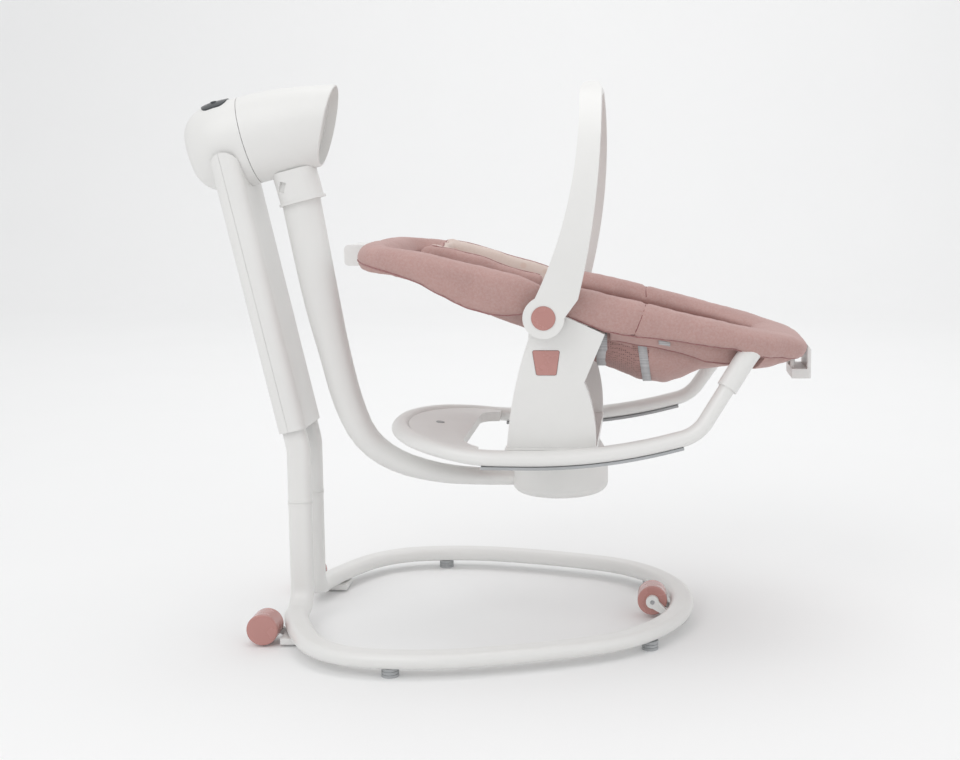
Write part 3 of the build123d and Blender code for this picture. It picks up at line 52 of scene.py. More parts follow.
# ---------------------------------------------------------------- materials
class Nodes:
    """Short names for building one procedural material; sizes in it are in metres."""

    def __init__(self, name, color, rough, metal=0.0):
        self.mat = bpy.data.materials.new(name)
        self.mat.use_nodes = True
        self.tree = self.mat.node_tree
        self.bsdf = self.tree.nodes["Principled BSDF"]
        self.color = (*color, 1)
        self.set("Base Color", self.color)
        self.set("Roughness", rough)
        self.set("Metallic", metal)
        self.mat.diffuse_color = self.color

    def set(self, socket, value):
        self.bsdf.inputs[socket].default_value = value

    def add(self, kind, **inputs):
        node = self.tree.nodes.new(kind)
        for key, value in inputs.items():
            if key.startswith("_"):
                setattr(node, key[1:], value)
            else:
                node.inputs[key.replace("__", " ")].default_value = value
        return node

    def link(self, out, into):
        self.tree.links.new(out, into)

    def coords(self):
        return self.add("ShaderNodeTexCoord").outputs["Object"]

    def noise(self, scale, detail=3.0, rough=0.55, coords=None):
        node = self.add("ShaderNodeTexNoise", Scale=scale, Detail=detail, Roughness=rough)
        self.link(coords or self.coords(), node.inputs["Vector"])
        return node.outputs["Fac"]

    def ramp(self, fac, low, high, out_low, out_high):
        node = self.add("ShaderNodeMapRange")
        self.link(fac, node.inputs["Value"])
        keys = ("From Min", "From Max", "To Min", "To Max")
        for key, value in zip(keys, (low, high, out_low, out_high)):
            node.inputs[key].default_value = value
        return node.outputs["Result"]

    def mix(self, fac, a, b):
        node = self.add("ShaderNodeMix", _data_type="RGBA")
        self.link(fac, node.inputs["Factor"])
        for socket, value in ((node.inputs[6], a), (node.inputs[7], b)):
            if isinstance(value, tuple):
                socket.default_value = value
            else:
                self.link(value, socket)
        return node.outputs[2]

    def math(self, op, a, b=None):
        node = self.add("ShaderNodeMath", _operation=op)
        for socket, value in zip(node.inputs, (a, b)):
            if value is None:
                continue
            if isinstance(value, (int, float)):
                socket.default_value = value
            else:
                self.link(value, socket)
        return node.outputs[0]

    def bump(self, height, strength, distance):
        node = self.add("ShaderNodeBump", Strength=strength, Distance=distance)
        self.link(height, node.inputs["Height"])
        self.link(node.outputs["Normal"], self.bsdf.inputs["Normal"])

    def shades(self, amount, scale):
        """A slow drift of the colour, darker and lighter by the amount given."""
        fac = self.ramp(self.noise(scale), 0.3, 0.7, 0.0, 1.0)
        dark = tuple(c * (1 - amount) for c in self.color[:3]) + (1,)
        light = tuple(min(1, c * (1 + amount)) for c in self.color[:3]) + (1,)
        return self.mix(fac, dark, light)


def moulded(name, color, rough, grain=0.03, scale=1400, drift=0.012, coat=0.0, metal=0.0):
    """Moulded plastic, paint or rubber: a fine grain and a slight drift of colour and gloss."""
    m = Nodes(name, color, rough, metal)
    m.link(m.shades(drift, 14), m.bsdf.inputs["Base Color"])
    m.link(m.ramp(m.noise(35), 0.3, 0.7, rough - 0.05, rough + 0.05), m.bsdf.inputs["Roughness"])
    m.bump(m.noise(scale, 2), grain, 0.0004)
    m.set("Coat Weight", coat)
    m.set("Coat Roughness", 0.15)
    return m.mat


def woven(name, color, pitch, depth=0.25, drift=0.05, sheen=0.25, pattern=None):
    """Woven cloth: crossing threads, a slubby drift of colour and a soft sheen."""
    m = Nodes(name, color, 0.82)
    place = m.add("ShaderNodeSeparateXYZ")
    m.link(m.coords(), place.inputs[0])
    turns = 2 * math.pi / pitch
    x, y, z = (m.math("SINE", m.math("MULTIPLY", place.outputs[k], turns)) for k in range(3))
    weave = m.math("ADD", m.math("MULTIPLY", x, y), m.math("MULTIPLY", z, x))
    weave = m.math("ADD", weave, m.math("MULTIPLY", y, z))
    slub = m.noise(260, 4, 0.7)
    height = m.math("ADD", m.math("MULTIPLY", weave, 0.25), m.math("MULTIPLY", slub, 0.8))
    m.bump(height, depth, 0.0007)
    cloth = m.shades(drift, 22)
    fleck = m.ramp(slub, 0.35, 0.65, 0.0, 0.22)
    pale = tuple(min(1, 0.55 * c + 0.38) for c in color) + (1,)
    cloth = m.mix(fleck, cloth, pale)
    if pattern:
        cloth = pattern(m, cloth)
    m.link(cloth, m.bsdf.inputs["Base Color"])
    m.set("Sheen Weight", sheen)
    m.set("Sheen Roughness", 0.5)
    m.set("Sheen Tint", (1, 0.9, 0.9, 1))
    m.set("Specular IOR Level", 0.25)
    return m.mat


def sprigs(m, cloth):
    """A plain scattered print of small pale spots in two tints."""
    spots = m.add("ShaderNodeTexVoronoi", Scale=55.0)
    m.link(m.coords(), spots.inputs["Vector"])
    near = m.ramp(spots.outputs["Distance"], 0.26, 0.34, 0.8, 0.0)
    tint = m.add("ShaderNodeSeparateColor")
    m.link(spots.outputs["Color"], tint.inputs[0])
    one = m.mix(tint.outputs[0], (0.66, 0.36, 0.34, 1), (0.62, 0.52, 0.44, 1))
    kept = m.math("MULTIPLY", near, m.ramp(tint.outputs[1], 0.35, 0.45, 0.0, 0.75))
    return m.mix(kept, cloth, one)


def netting(name, color):
    """Knitted air mesh: rows of small holes between pale threads, the holes painted darker as the shade
    inside them.
    """
    m = Nodes(name, color, 0.8)
    holes = m.add("ShaderNodeTexVoronoi", Scale=300.0, Randomness=0.25)
    m.link(m.coords(), holes.inputs["Vector"])
    open_ = m.ramp(holes.outputs["Distance"], 0.22, 0.42, 1.0, 0.0)
    # Painted shade: the holes get a darker copy of the mesh colour, standing in for the shade inside them.
    dark = tuple(0.42 * c for c in color) + (1,)
    m.link(m.mix(open_, m.shades(0.06, 20), dark), m.bsdf.inputs["Base Color"])
    m.bump(open_, 0.5, 0.0008)
    m.set("Sheen Weight", 0.15)
    return m.mat


def ribbed(name, color, pitch):
    """Webbing with fine ribs across it."""
    m = Nodes(name, color, 0.75)
    place = m.add("ShaderNodeSeparateXYZ")
    m.link(m.coords(), place.inputs[0])
    across = m.math("ADD", place.outputs[1], place.outputs[2])
    ribs = m.math("SINE", m.math("MULTIPLY", across, 6.28 / pitch))
    # Painted highlight: the rib crests are painted paler than the grooves, following the same sine as the
    # rib bump.
    pale = (0.75, 0.75, 0.76, 1)
    m.link(m.mix(m.ramp(ribs, -1, 1, 0, 0.35), m.shades(0.05, 60), pale), m.bsdf.inputs["Base Color"])
    m.bump(ribs, 0.35, 0.0005)
    m.set("Sheen Weight", 0.1)
    return m.mat


WHITE, ROSE = (0.80, 0.795, 0.78), (0.49, 0.235, 0.21)
MATS = {
    "painted_tube": moulded("white_paint", WHITE, 0.34, 0.008, 2200, 0.006, coat=0.08),
    "white_plastic": moulded("white_moulding", WHITE, 0.42, 0.05, 1800, coat=0.05),
    "pink_plastic": moulded("rose_moulding", ROSE, 0.26, 0.02, 900, 0.03, coat=0.5),
    "grey_rubber": moulded("grey_rubber_grip", (0.42, 0.43, 0.44), 0.62, 0.18, 900, 0.05),
    "dark_panel": moulded("dark_panel_film", (0.045, 0.05, 0.055), 0.30, 0.03, 700, coat=0.3),
    "bare_steel": moulded("turned_steel", (0.60, 0.60, 0.62), 0.25, 0.05, 400, metal=1.0),
    "copper": moulded("enamelled_copper", (0.60, 0.27, 0.12), 0.32, 0.2, 2500, metal=1.0),
    "magnet": moulded("nickel_plate", (0.55, 0.55, 0.56), 0.2, 0.02, 300, metal=1.0),
    "board": moulded("board_laminate", (0.03, 0.16, 0.07), 0.4, 0.1, 500),
    "seat_fabric": woven("rose_cloth", (0.47, 0.285, 0.26), 0.0016),
    "lining": woven("rose_lining", (0.42, 0.25, 0.23), 0.0012, 0.18),
    "insert_fabric": woven("printed_liner", (0.66, 0.545, 0.49), 0.0011, 0.15, 0.03, 0.2, sprigs),
    "mesh": netting("rose_air_mesh", (0.40, 0.235, 0.215)),
    "webbing": ribbed("grey_webbing_weave", (0.42, 0.42, 0.43), 0.0022),
    "thread": moulded("seam_thread", (0.20, 0.055, 0.06), 0.8, 0.3, 2500, 0.1),
    "piping": woven("rose_piping", (0.33, 0.15, 0.145), 0.0010, 0.2),
}
SLOT_OF = {s["node"]: s["material_slot"] for s in frame["record"]["subparts"]}
for name, node in NODES.items():
    node.data.materials.clear()
    node.data.materials.append(MATS[SLOT_OF[name]])


# ---------------------------------------------------------------- mesh helpers
MM = 0.001
ARC_STEPS = 12
SPLINE_STEPS = 8
RIM_STEP = 4.0
TRIM_STEP = 0.003
CORD_SIDES = 8
# No cord runs in this direction, so it can set the start of a cord's sections.
OFF_CORDS = (0.13, 0.21, 0.97)
VOXEL = 0.0045
CLOTH_FRAMES = 16


def new_mesh(name, verts, faces, mat):
    mesh = bpy.data.meshes.new(name)
    mesh.from_pydata([tuple(v) for v in verts], [], faces)
    mesh.update()
    obj = bpy.data.objects.new(name, mesh)
    bpy.context.scene.collection.objects.link(obj)
    for one in mat if isinstance(mat, (list, tuple)) else [mat]:
        mesh.materials.append(MATS[one])
    for face in mesh.polygons:
        face.use_smooth = True
    return obj


def loft(name, rings, mat, closed=True):
    """Skins a list of rings of equal length; closed rings also get a face at each end."""
    rings = np.asarray(rings, float)
    count, size = rings.shape[:2]
    faces = []
    for i in range(count - 1):
        for j in range(size if closed else size - 1):
            k = (j + 1) % size
            faces.append((i * size + j, i * size + k, (i + 1) * size + k, (i + 1) * size + j))
    if closed:
        faces.append(tuple(reversed(range(size))))
        faces.append(tuple((count - 1) * size + j for j in range(size)))
    obj = new_mesh(name, rings.reshape(-1, 3), faces, mat)
    bm = bmesh.new()
    bm.from_mesh(obj.data)
    bmesh.ops.recalc_face_normals(bm, faces=bm.faces)
    bm.to_mesh(obj.data)
    bm.free()
    return obj


def apply_modifiers(obj):
    deps = bpy.context.evaluated_depsgraph_get()
    mesh = bpy.data.meshes.new_from_object(obj.evaluated_get(deps), depsgraph=deps)
    old = obj.data
    obj.modifiers.clear()
    obj.data = mesh
    bpy.data.meshes.remove(old)
    for face in mesh.polygons:
        face.use_smooth = True


def subdivide(obj):
    mod = obj.modifiers.new("fine", "SUBSURF")
    mod.levels = 1
    apply_modifiers(obj)


def points_of(obj):
    co = np.empty(len(obj.data.vertices) * 3)
    obj.data.vertices.foreach_get("co", co)
    return co.reshape(-1, 3)


def set_points(obj, co):
    obj.data.vertices.foreach_set("co", np.asarray(co, float).ravel())
    obj.data.update()


def puff(obj, pressure, cap):
    """Remeshes a soft form and lets a cloth simulation fill it, moving no point past the cap."""
    remesh = obj.modifiers.new("remesh", "REMESH")
    remesh.mode = "VOXEL"
    remesh.voxel_size = VOXEL
    apply_modifiers(obj)
    before = points_of(obj)
    cloth = obj.modifiers.new("cloth", "CLOTH")
    s = cloth.settings
    s.quality = 4
    s.mass = 0.25
    s.tension_stiffness = 18
    s.compression_stiffness = 12
    s.shear_stiffness = 6
    s.bending_stiffness = 0.6
    s.use_pressure = True
    s.uniform_pressure_force = pressure
    s.shrink_min = -0.035
    s.effector_weights.gravity = 0
    cloth.collision_settings.use_collision = False
    cloth.point_cache.frame_start, cloth.point_cache.frame_end = 1, CLOTH_FRAMES
    for step in range(1, CLOTH_FRAMES + 1):
        bpy.context.scene.frame_set(step)
    apply_modifiers(obj)
    bpy.context.scene.frame_set(1)
    after = points_of(obj)
    if len(after) == len(before):
        move = after - before
        size = np.linalg.norm(move, axis=1)
        move *= np.minimum(1, cap / np.maximum(size, 1e-9))[:, None]
        set_points(obj, before + move)


def relax(obj, times):
    mod = obj.modifiers.new("relax", "SMOOTH")
    mod.iterations = times
    mod.factor = 0.5
    apply_modifiers(obj)


def wrinkle(obj, height, size, stretch=(1, 1, 1)):
    """Moves points along their normals by smooth folds, about size apart."""
    co = points_of(obj)
    normals = np.array([v.normal for v in obj.data.vertices])
    places = [Vector([p[k] * stretch[k] / size for k in range(3)]) for p in co]
    amount = np.array([noise.noise(place) for place in places])
    set_points(obj, co + normals * (amount * height)[:, None])


def groove(obj, line, width, depth):
    """Presses a sewn channel into a soft form along a line of points."""
    co = points_of(obj)
    normals = np.array([v.normal for v in obj.data.vertices])
    near = np.full(len(co), np.inf)
    for p in line:
        near = np.minimum(near, np.linalg.norm(co - p, axis=1))
    set_points(obj, co - normals * (depth * np.exp(-((near / width) ** 2)))[:, None])


def unit(rows):
    return rows / np.linalg.norm(rows, axis=1)[:, None]


def lengths(line):
    """How far along the line each of its points is."""
    return np.concatenate([[0], np.cumsum(np.linalg.norm(np.diff(line, axis=0), axis=1))])


def resample(line, at):
    """The line's points at the distances given."""
    length = lengths(line)
    return np.stack([np.interp(at, length, line[:, k]) for k in range(line.shape[1])], 1)


def rounded(points, radii):
    """A line through the points with its corners rounded, and the distance of each sample."""
    points = [np.array(p, float) for p in points]
    out = [points[0]]
    for k in range(1, len(points) - 1):
        a, b, c = points[k - 1], points[k], points[k + 1]
        u = (a - b) / np.linalg.norm(a - b)
        v = (c - b) / np.linalg.norm(c - b)
        half = math.acos(max(-1, min(1, float(u @ v)))) / 2
        reach = radii[k - 1] / math.tan(half)
        middle = b + (u + v) / np.linalg.norm(u + v) * radii[k - 1] / math.sin(half)
        start, end = b + u * reach - middle, b + v * reach - middle
        sweep = math.pi - 2 * half
        for i in range(ARC_STEPS + 1):
            w = i / ARC_STEPS
            turned = start * math.sin((1 - w) * sweep) + end * math.sin(w * sweep)
            out.append(middle + turned / math.sin(sweep))
    out.append(points[-1])
    out = np.array(out)
    whole = lengths(out)[-1]
    at = np.linspace(0, whole, int(whole / RIM_STEP) + 1)
    return resample(out, at), at


def smooth_loop(corners, count):
    """A closed smooth curve through the corners, evenly sampled."""
    corners = np.asarray(corners, float)
    n = len(corners)
    out = []
    for k in range(n):
        p0, p1, p2, p3 = (corners[(k + d) % n] for d in (-1, 0, 1, 2))
        for i in range(SPLINE_STEPS):
            t = i / SPLINE_STEPS
            out.append(0.5 * (2 * p1 + (p2 - p0) * t + (2 * p0 - 5 * p1 + 4 * p2 - p3) * t * t
                              + (3 * p1 - p0 - 3 * p2 + p3) * t ** 3))
    out = np.array(out + [out[0]])
    return resample(out, np.linspace(0, lengths(out)[-1], count, endpoint=False))


def tube(name, line, radius, mat):
    """A round cord of cloth or thread along a line, as a mesh with closed ends."""
    ahead = unit(np.gradient(line, axis=0))
    side = unit(np.cross(ahead, OFF_CORDS))
    up = np.cross(side, ahead)
    turn = np.linspace(0, 2 * math.pi, CORD_SIDES, endpoint=False)
    rings = []
    for p, s, u in zip(line, side, up):
        rings.append(p + radius * (np.outer(np.cos(turn), s) + np.outer(np.sin(turn), u)))
    return loft(name, rings, mat)


def strip(name, line, across, half, thick, mat):
    """A flat strap along a line: across is its width direction at each point."""
    across = np.asarray(across, float)
    out = unit(np.cross(np.gradient(line, axis=0), across))
    inner, crown = half * 0.9, thick * 1.25
    corners = [(-half, 0), (-half, thick), (-inner, crown), (inner, crown), (half, thick), (half, 0)]
    rings = []
    for p, a, n in zip(line, across, out):
        rings.append([p + a * x + n * y for x, y in corners])
    return loft(name, rings, mat)


# ---------------------------------------------------------------- soft seat
# The seat's lines and tables are in millimetres, in the frame's axes.
HUB_X, HUB_Z = 90, 577
TILT = math.radians(13)
SLOPE_UP = np.array([math.sin(TILT), 0, math.cos(TILT)])


def seat_point(along, across):
    """A point of the foot half's sloping plane, from its distances ahead of the hub and sideways."""
    return (HUB_X + along * math.cos(TILT), across, HUB_Z - along * math.sin(TILT))


def rim(points, radii):
    """The rim's centre line from the right hub round to the left, how far each of its points is
    from the nearer hub, and its directions."""
    mirrored = [(x, -y, z) for x, y, z in points]
    line, at = rounded([*mirrored, *reversed(points)], [*radii, *reversed(radii)])
    return line, np.minimum(at, at[-1] - at), unit(np.gradient(line, axis=0))


def cover(name, line, s, outward, up, table):
    """The padded rim: a section that changes along the rim, by the table's rows of
    (distance from the hub, height of crown, drop of the skirt, reach out, reach in)."""
    rings = []
    for p, dist, n, u in zip(line, s, outward, up):
        crown, drop, out, inn = (np.interp(dist, table[:, 0], table[:, k]) for k in range(1, 5))
        corners = [
            (-inn, 1), (-inn * 0.62, crown * 0.86), (-inn * 0.15, crown), (out * 0.62, crown * 0.72),
            (out, crown * 0.1), (out * 0.95, -drop * 0.5), (out * 0.62, -drop), (out * 0.1 - 3, -drop + 3),
            (-inn * 0.55, -max(14, drop * 0.45)), (-inn * 0.95, -9),
        ]
        rings.append([(p + n * a + u * b) * MM for a, b in smooth_loop(corners, 40)])
    return loft(name, rings, "seat_fabric")


def outer_line(line, s, outward, up, table, rows):
    """Points on the rim cover, from rows of (distance from the hub, share of its reach out,
    share of its drop, or minus the share of its crown)."""
    rows = np.array(rows, float)
    out = []
    for p, dist, n, u in zip(line, s, outward, up):
        crown, drop, reach = (np.interp(dist, table[:, 0], table[:, k]) for k in (1, 2, 3))
        a, b = (np.interp(dist, rows[:, 0], rows[:, k]) for k in (1, 2))
        out.append((p + n * reach * a - u * b * (crown if b < 0 else drop)) * MM)
    return np.array(out)


FOOT_POINTS = [seat_point(*p) for p in ((18, 182), (150, 184.5), (325, 156), (412, 92))]
foot_line, foot_s, foot_ahead = rim(FOOT_POINTS, (220, 150, 60))
foot_up = np.tile(SLOPE_UP, (len(foot_line), 1))
foot_out = np.cross(foot_ahead, foot_up)
FOOT_TABLE = np.array([
    (0, 16, 20, 15, 26), (20, 19, 27, 17, 32), (55, 20, 32, 18, 36), (85, 19, 37, 18, 38),
    (130, 18, 35, 18, 38), (190, 17, 29, 18, 42), (250, 16, 25, 18, 48), (290, 15, 22, 19, 54),
    (318, 15, 24, 24, 58), (345, 15, 24, 25, 60), (372, 14, 21, 20, 62), (440, 13, 19, 18, 66),
    (520, 13, 19, 18, 66),
], float)
BACK_POINTS = [(80, 182, 579.2), (-100, 185, 621), (-198, 150, 629)]
back_line, back_s, back_ahead = rim(BACK_POINTS, (220, 70))
back_up = np.cross(back_ahead, np.tile([0, 0, 1.0], (len(back_line), 1)))
back_up = unit(np.cross(back_up, back_ahead))
back_out = np.cross(back_ahead, back_up)
BACK_TABLE = np.array([
    (0, 10, 32, 8, 22), (22, 14, 42, 13, 28), (40, 16, 48, 16, 32), (67, 16, 51, 18, 38),
    (107, 17, 49, 18, 40), (157, 18, 36, 18, 40), (187, 19, 26, 18, 40), (237, 20, 20, 18, 40),
    (282, 21, 19, 18, 40), (322, 22, 18, 18, 40), (420, 22, 17, 18, 40),
], float)
# The outward directions point away from the middle of the seat on both halves.
for line, out in ((foot_line, foot_out), (back_line, back_out)):
    if (out[10] @ (line[10] - line.mean(0))) < 0:
        out *= -1
FOOT_RIM = (foot_line, foot_s, foot_out, foot_up, FOOT_TABLE)
BACK_RIM = (back_line, back_s, back_out, back_up, BACK_TABLE)

seat_cover = cover("seat_rim_cover", *FOOT_RIM)
puff(seat_cover, 2.5, 0.0022)
back_cover = cover("back_rim_cover", *BACK_RIM)
puff(back_cover, 2.5, 0.0022)
for piece in (seat_cover, back_cover):
    relax(piece, 2)
    wrinkle(piece, 0.0016, 0.055, (0.6, 1, 1.6))
    wrinkle(piece, 0.0007, 0.018, (1.5, 1, 1))


SEAM_X = 250
SEAM_SLANT = -17


def section_seam(line, s, outward, up, table, x, side):
    """The sewn line across the rim cover at a place x on one side, slanting back as it drops."""
    picks = [k for k in range(len(line)) if line[k][1] * side > 0]
    k = min(picks, key=lambda q: abs(line[q][0] - x))
    crown, drop, out, inn = (np.interp(s[k], table[:, 0], table[:, c]) for c in range(1, 5))
    arc = [(-inn, 4), (-inn * 0.62, crown * 0.9), (-inn * 0.15, crown + 0.6),
           (out * 0.62, crown * 0.78), (out + 0.6, crown * 0.1), (out, -drop * 0.5), (out * 0.68, -drop)]
    pts = []
    for (a, b), back in zip(arc, np.linspace(0, SEAM_SLANT, len(arc))):
        pts.append(line[k] + outward[k] * a + up[k] * b + np.array([back, 0, 0]))
    fine = []
    for a, b in zip(pts[:-1], pts[1:]):
        for w in np.linspace(0, 1, 8, endpoint=False):
            fine.append((a * (1 - w) + b * w) * MM)
    return np.array(fine)


def project(obj, line, lift):
    """Lays a line on the surface of a piece, with a small lift off it."""
    out = []
    for p in line:
        hit, place, normal, _ = obj.closest_point_on_mesh(Vector(p))
        out.append(np.array(place + normal * lift) if hit else np.array(p))
    return np.array(out)


def even(line):
    """The line in even steps, with its corners smoothed."""
    whole = lengths(line)[-1]
    line = resample(line, np.linspace(0, whole, max(4, int(whole / TRIM_STEP))))
    for _ in range(4):
        line[1:-1] = (line[:-2] + 2 * line[1:-1] + line[2:]) / 4
    return line


def trim(name, host, raw, radius, mat, body, lift=0.0, press=None):
    """A seam or a piping laid on a soft piece, pressed into it where press is given."""
    line = even(raw)
    if press:
        groove(host, project(host, line, 0), *press)
    line = even(project(host, line, lift))
    piece = tube(name, line, radius, mat)
    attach(piece, body)


# The piping runs along the foot of the rim cover; at the head end it rises on the outer face.
LOW_EDGE = [(0, 0.66, 1)]
RISING_EDGE = [*LOW_EDGE, (180, 0.66, 1), (225, 0.85, 0.8), (270, 1, 0.45), (310, 1, 0.2)]
CROWN_LINE = [(0, 0.35, -0.98)]
PIPING_PRESS, SEAM_PRESS = (0.003, 0.0015), (0.0035, 0.0028)
trim("seat_piping", seat_cover, outer_line(*FOOT_RIM, LOW_EDGE), 0.0013, "piping", "rocker", 0.0004,
     PIPING_PRESS)
trim("back_piping", back_cover, outer_line(*BACK_RIM, RISING_EDGE), 0.0013, "piping", "backrest", 0.0004,
     PIPING_PRESS)
for side, tag in ((-1, "right"), (1, "left")):
    seam = section_seam(*FOOT_RIM, SEAM_X, side)
    trim(f"seat_seam_{tag}", seat_cover, seam, 0.0006, "thread", "rocker", 0.0001, SEAM_PRESS)
# A low ridge runs along the crown of each cover.
groove(seat_cover, even(outer_line(*FOOT_RIM, CROWN_LINE)), 0.006, -0.0007)
groove(back_cover, even(outer_line(*BACK_RIM, CROWN_LINE)), 0.006, -0.0007)


BOWL_SIDES = 33


def bowl_arc(share):
    """A rounded-square half ring: its sideways place from 1 to -1 and its drop from 0 to 1 and back."""
    c, d = math.cos(math.pi * share), math.sin(math.pi * share)
    return math.copysign(abs(c) ** 0.55, c), d ** 0.62


def tub(name, xs, top, bottom, mats, wall):
    """A hanging bowl with an inner and an outer face: top(x) and bottom(x) give half width and
    height of its brim and its floor."""
    rows = []
    for x in xs:
        (wt, zt), (wb, zb) = top(x), bottom(x)
        inner, outer = [], []
        for j in range(BOWL_SIDES):
            y, drop = bowl_arc(j / (BOWL_SIDES - 1))
            half = wt + (wb - wt) * drop
            outer.append((x, y * half, zt - (zt - zb) * drop))
            inner.append((x, y * max(half - wall, 1), zt - (zt - zb - wall) * drop))
        rows.append(np.array(outer + inner[::-1]) * MM)
    return loft(name, rows, mats)


def lerp_table(table):
    """A function of x that reads the table's rows of (x, value, ...), evenly between them."""
    table = np.array(table, float)
    return lambda x: tuple(np.interp(x, table[:, 0], table[:, k]) for k in range(1, table.shape[1]))


# Half width and height of the brim, then of the floor, along x.
SEAT_BRIM = lerp_table([(96, 158, 563), (150, 160, 549), (230, 158, 530), (300, 150, 514), (360, 140, 500),
                        (400, 126, 492), (440, 108, 484), (462, 84, 480), (472, 60, 478)])
SEAT_FLOOR = lerp_table([(96, 146, 490), (169, 146, 451), (232, 145, 425), (276, 143, 418), (335, 138, 441),
                         (400, 118, 449), (440, 96, 453), (462, 74, 456), (472, 50, 458)])
BACK_BRIM = lerp_table([(-176, 110, 618), (-160, 124, 617), (-110, 147, 611), (-60, 156, 602),
                        (0, 158, 588), (80, 156, 569)])
BACK_FLOOR = lerp_table([(-176, 96, 608), (-160, 108, 600), (-110, 138, 577), (-50, 144, 551),
                         (14, 144, 524), (80, 142, 498)])
BOWL_WALL = 9

seat_tub = tub("seat_bowl", np.linspace(96, 472, 64), SEAT_BRIM, SEAT_FLOOR,
               ["lining", "mesh", "seat_fabric"], BOWL_WALL)
back_tub = tub("back_bowl", np.linspace(-176, 80, 44), BACK_BRIM, BACK_FLOOR, ["lining"], BOWL_WALL)
for piece in (seat_tub, back_tub):
    subdivide(piece)
    wrinkle(piece, 0.0022, 0.05, (1.4, 0.8, 1))
    wrinkle(piece, 0.0008, 0.014, (1, 1, 1.4))

# Where the air mesh shows, in metres: its ends, and the places and heights of its top edge.
MESH_REAR, MESH_FRONT = 0.10, 0.252
MESH_TOP = ([0.10, 0.186, 0.263, 0.341], [0.520, 0.503, 0.488, 0.464])


def mesh_zone(place):
    """The air mesh: the outer face under the skirt, behind the front webbing strap."""
    x, _, z = place
    return MESH_REAR < x < MESH_FRONT and z < np.interp(x, *MESH_TOP) - 0.004


for poly in seat_tub.data.polygons:
    outside = poly.normal.y * poly.center.y > 0.002 or poly.normal.z < -0.3
    poly.material_index = (1 if mesh_zone(poly.center) else 2) if outside else 0

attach(seat_cover, "rocker")
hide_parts("seat_sling")
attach(seat_tub, "rocker")
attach(back_cover, "backrest")
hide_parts("back_sling")
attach(back_tub, "backrest")


# Pocket of the cover that wraps under the foot end, its mouth slanting back and down.
POCKET_BRIM = lerp_table([(440, 132, 480), (460, 117, 476), (480, 90, 472), (496, 50, 469)])
POCKET_FLOOR = lerp_table([(440, 112, 441), (460, 102, 444), (480, 80, 450), (496, 44, 458)])
# The slant in metres: full at the mouth's low edge, none at the brim and at the tip.
POCKET_TOP, POCKET_HIGH = 0.479, 0.036
POCKET_TIP, POCKET_LONG = 0.496, 0.056
POCKET_SLANT = 0.021
pocket = tub("foot_pocket", np.linspace(440, 496, 24), POCKET_BRIM, POCKET_FLOOR, ["seat_fabric"], 2.5)
co = points_of(pocket)
low = np.clip((POCKET_TOP - co[:, 2]) / POCKET_HIGH, 0, 1)
co[:, 0] -= POCKET_SLANT * (low * np.clip((POCKET_TIP - co[:, 0]) / POCKET_LONG, 0, 1))
set_points(pocket, co)
subdivide(pocket)
wrinkle(pocket, 0.0012, 0.03)
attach(pocket, "rocker")


# Skirt: the band of plain cloth from the piping down to the bowl, on the foot half, with its
# hem and a small tab of webbing sewn on.
SKIRT_TOP = lerp_table([(190, 190, 522), (236, 188, 517), (279, 181, 512), (327, 173, 505),
                        (367, 160, 499), (404, 146, 497)])
SKIRT_LOW = lerp_table([(190, 156, 500), (220, 156, 496), (263, 154, 488), (301, 151, 480),
                        (341, 147, 464), (374, 143, 461), (404, 132, 464)])
SKIRT_THICK, SKIRT_BULGE = 3, 3.5
skirt_rings = []
for x in np.linspace(190, 404, 60):
    (y_top, z_top), (y_low, z_low) = SKIRT_TOP(x), SKIRT_LOW(x)
    ring = []
    for shares, thick in ((np.linspace(0, 1, 9), 0), (np.linspace(1, 0, 9), SKIRT_THICK)):
        for share in shares:
            bulge = SKIRT_BULGE * math.sin(math.pi * share) - thick
            ring.append((x, y_top + (y_low - y_top) * share + bulge, z_top + (z_low - z_top) * share))
    skirt_rings.append(np.array(ring) * MM)
skirts = [loft("seat_skirt_left", skirt_rings, "seat_fabric")]
skirts.append(loft("seat_skirt_right", np.array(skirt_rings) * (1, -1, 1), "seat_fabric"))
for piece, side, tag in zip(skirts, (1, -1), ("left", "right")):
    wrinkle(piece, 0.0018, 0.03, (1, 1, 1.5))
    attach(piece, "rocker")
    hem = []
    for x in np.linspace(192, 402, 60):
        y_low, z_low = SKIRT_LOW(x)
        hem.append((x, side * (y_low + 1.5), z_low + 1))
    trim(f"skirt_hem_{tag}", piece, np.array(hem) * MM, 0.0011, "piping", "rocker", 0.0002)
    line = [(x, side * 174.5, 497.5 - (x - 268) * 0.23) for x in np.linspace(266, 284, 7)]
    line = project(piece, np.array(line) * MM, 0.0009)
    tab = strip(f"seat_tab_{tag}", line, [(0, 0.35 * side, 0.94)] * len(line), 0.0036, 0.0011, "webbing")
    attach(tab, "rocker")


STRAP_LIFT = 1.6
STRAP_TUCK = 14


def under_strap(name, x_top, x_low, half):
    """A webbing strap slung under the bowl, its ends tucked up behind the skirt."""
    line = []
    for w in np.linspace(0, 1, 61):
        y, drop = bowl_arc(w)
        x = x_top + (x_low - x_top) * drop
        (wt, zt), (wb, zb) = SEAT_BRIM(x), SEAT_FLOOR(x)
        z = zt - (zt - zb) * drop
        if z < SKIRT_LOW(x)[1] + STRAP_TUCK or abs(y) < 0.5:
            line.append((x, y * (wt + (wb - wt) * drop + STRAP_LIFT), z - STRAP_LIFT * drop))
    line = even(np.array(line) * MM)
    strap = strip(name, line, [(1, 0, 0)] * len(line), half * MM, 0.0012, "webbing")
    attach(strap, "rocker")


under_strap("webbing_front", 236, 249, 7)
under_strap("webbing_rear", 176, 176, 9)

# ---------------------------------------------------------------- infant insert
# Height of its underside and of its side walls' top, along x.
SPINE = lerp_table([(-118, 588, 640), (-104, 582, 649), (-91, 576, 650), (-60, 563, 643),
                    (-8, 539, 629), (30, 524, 616), (82, 503.5, 599)])


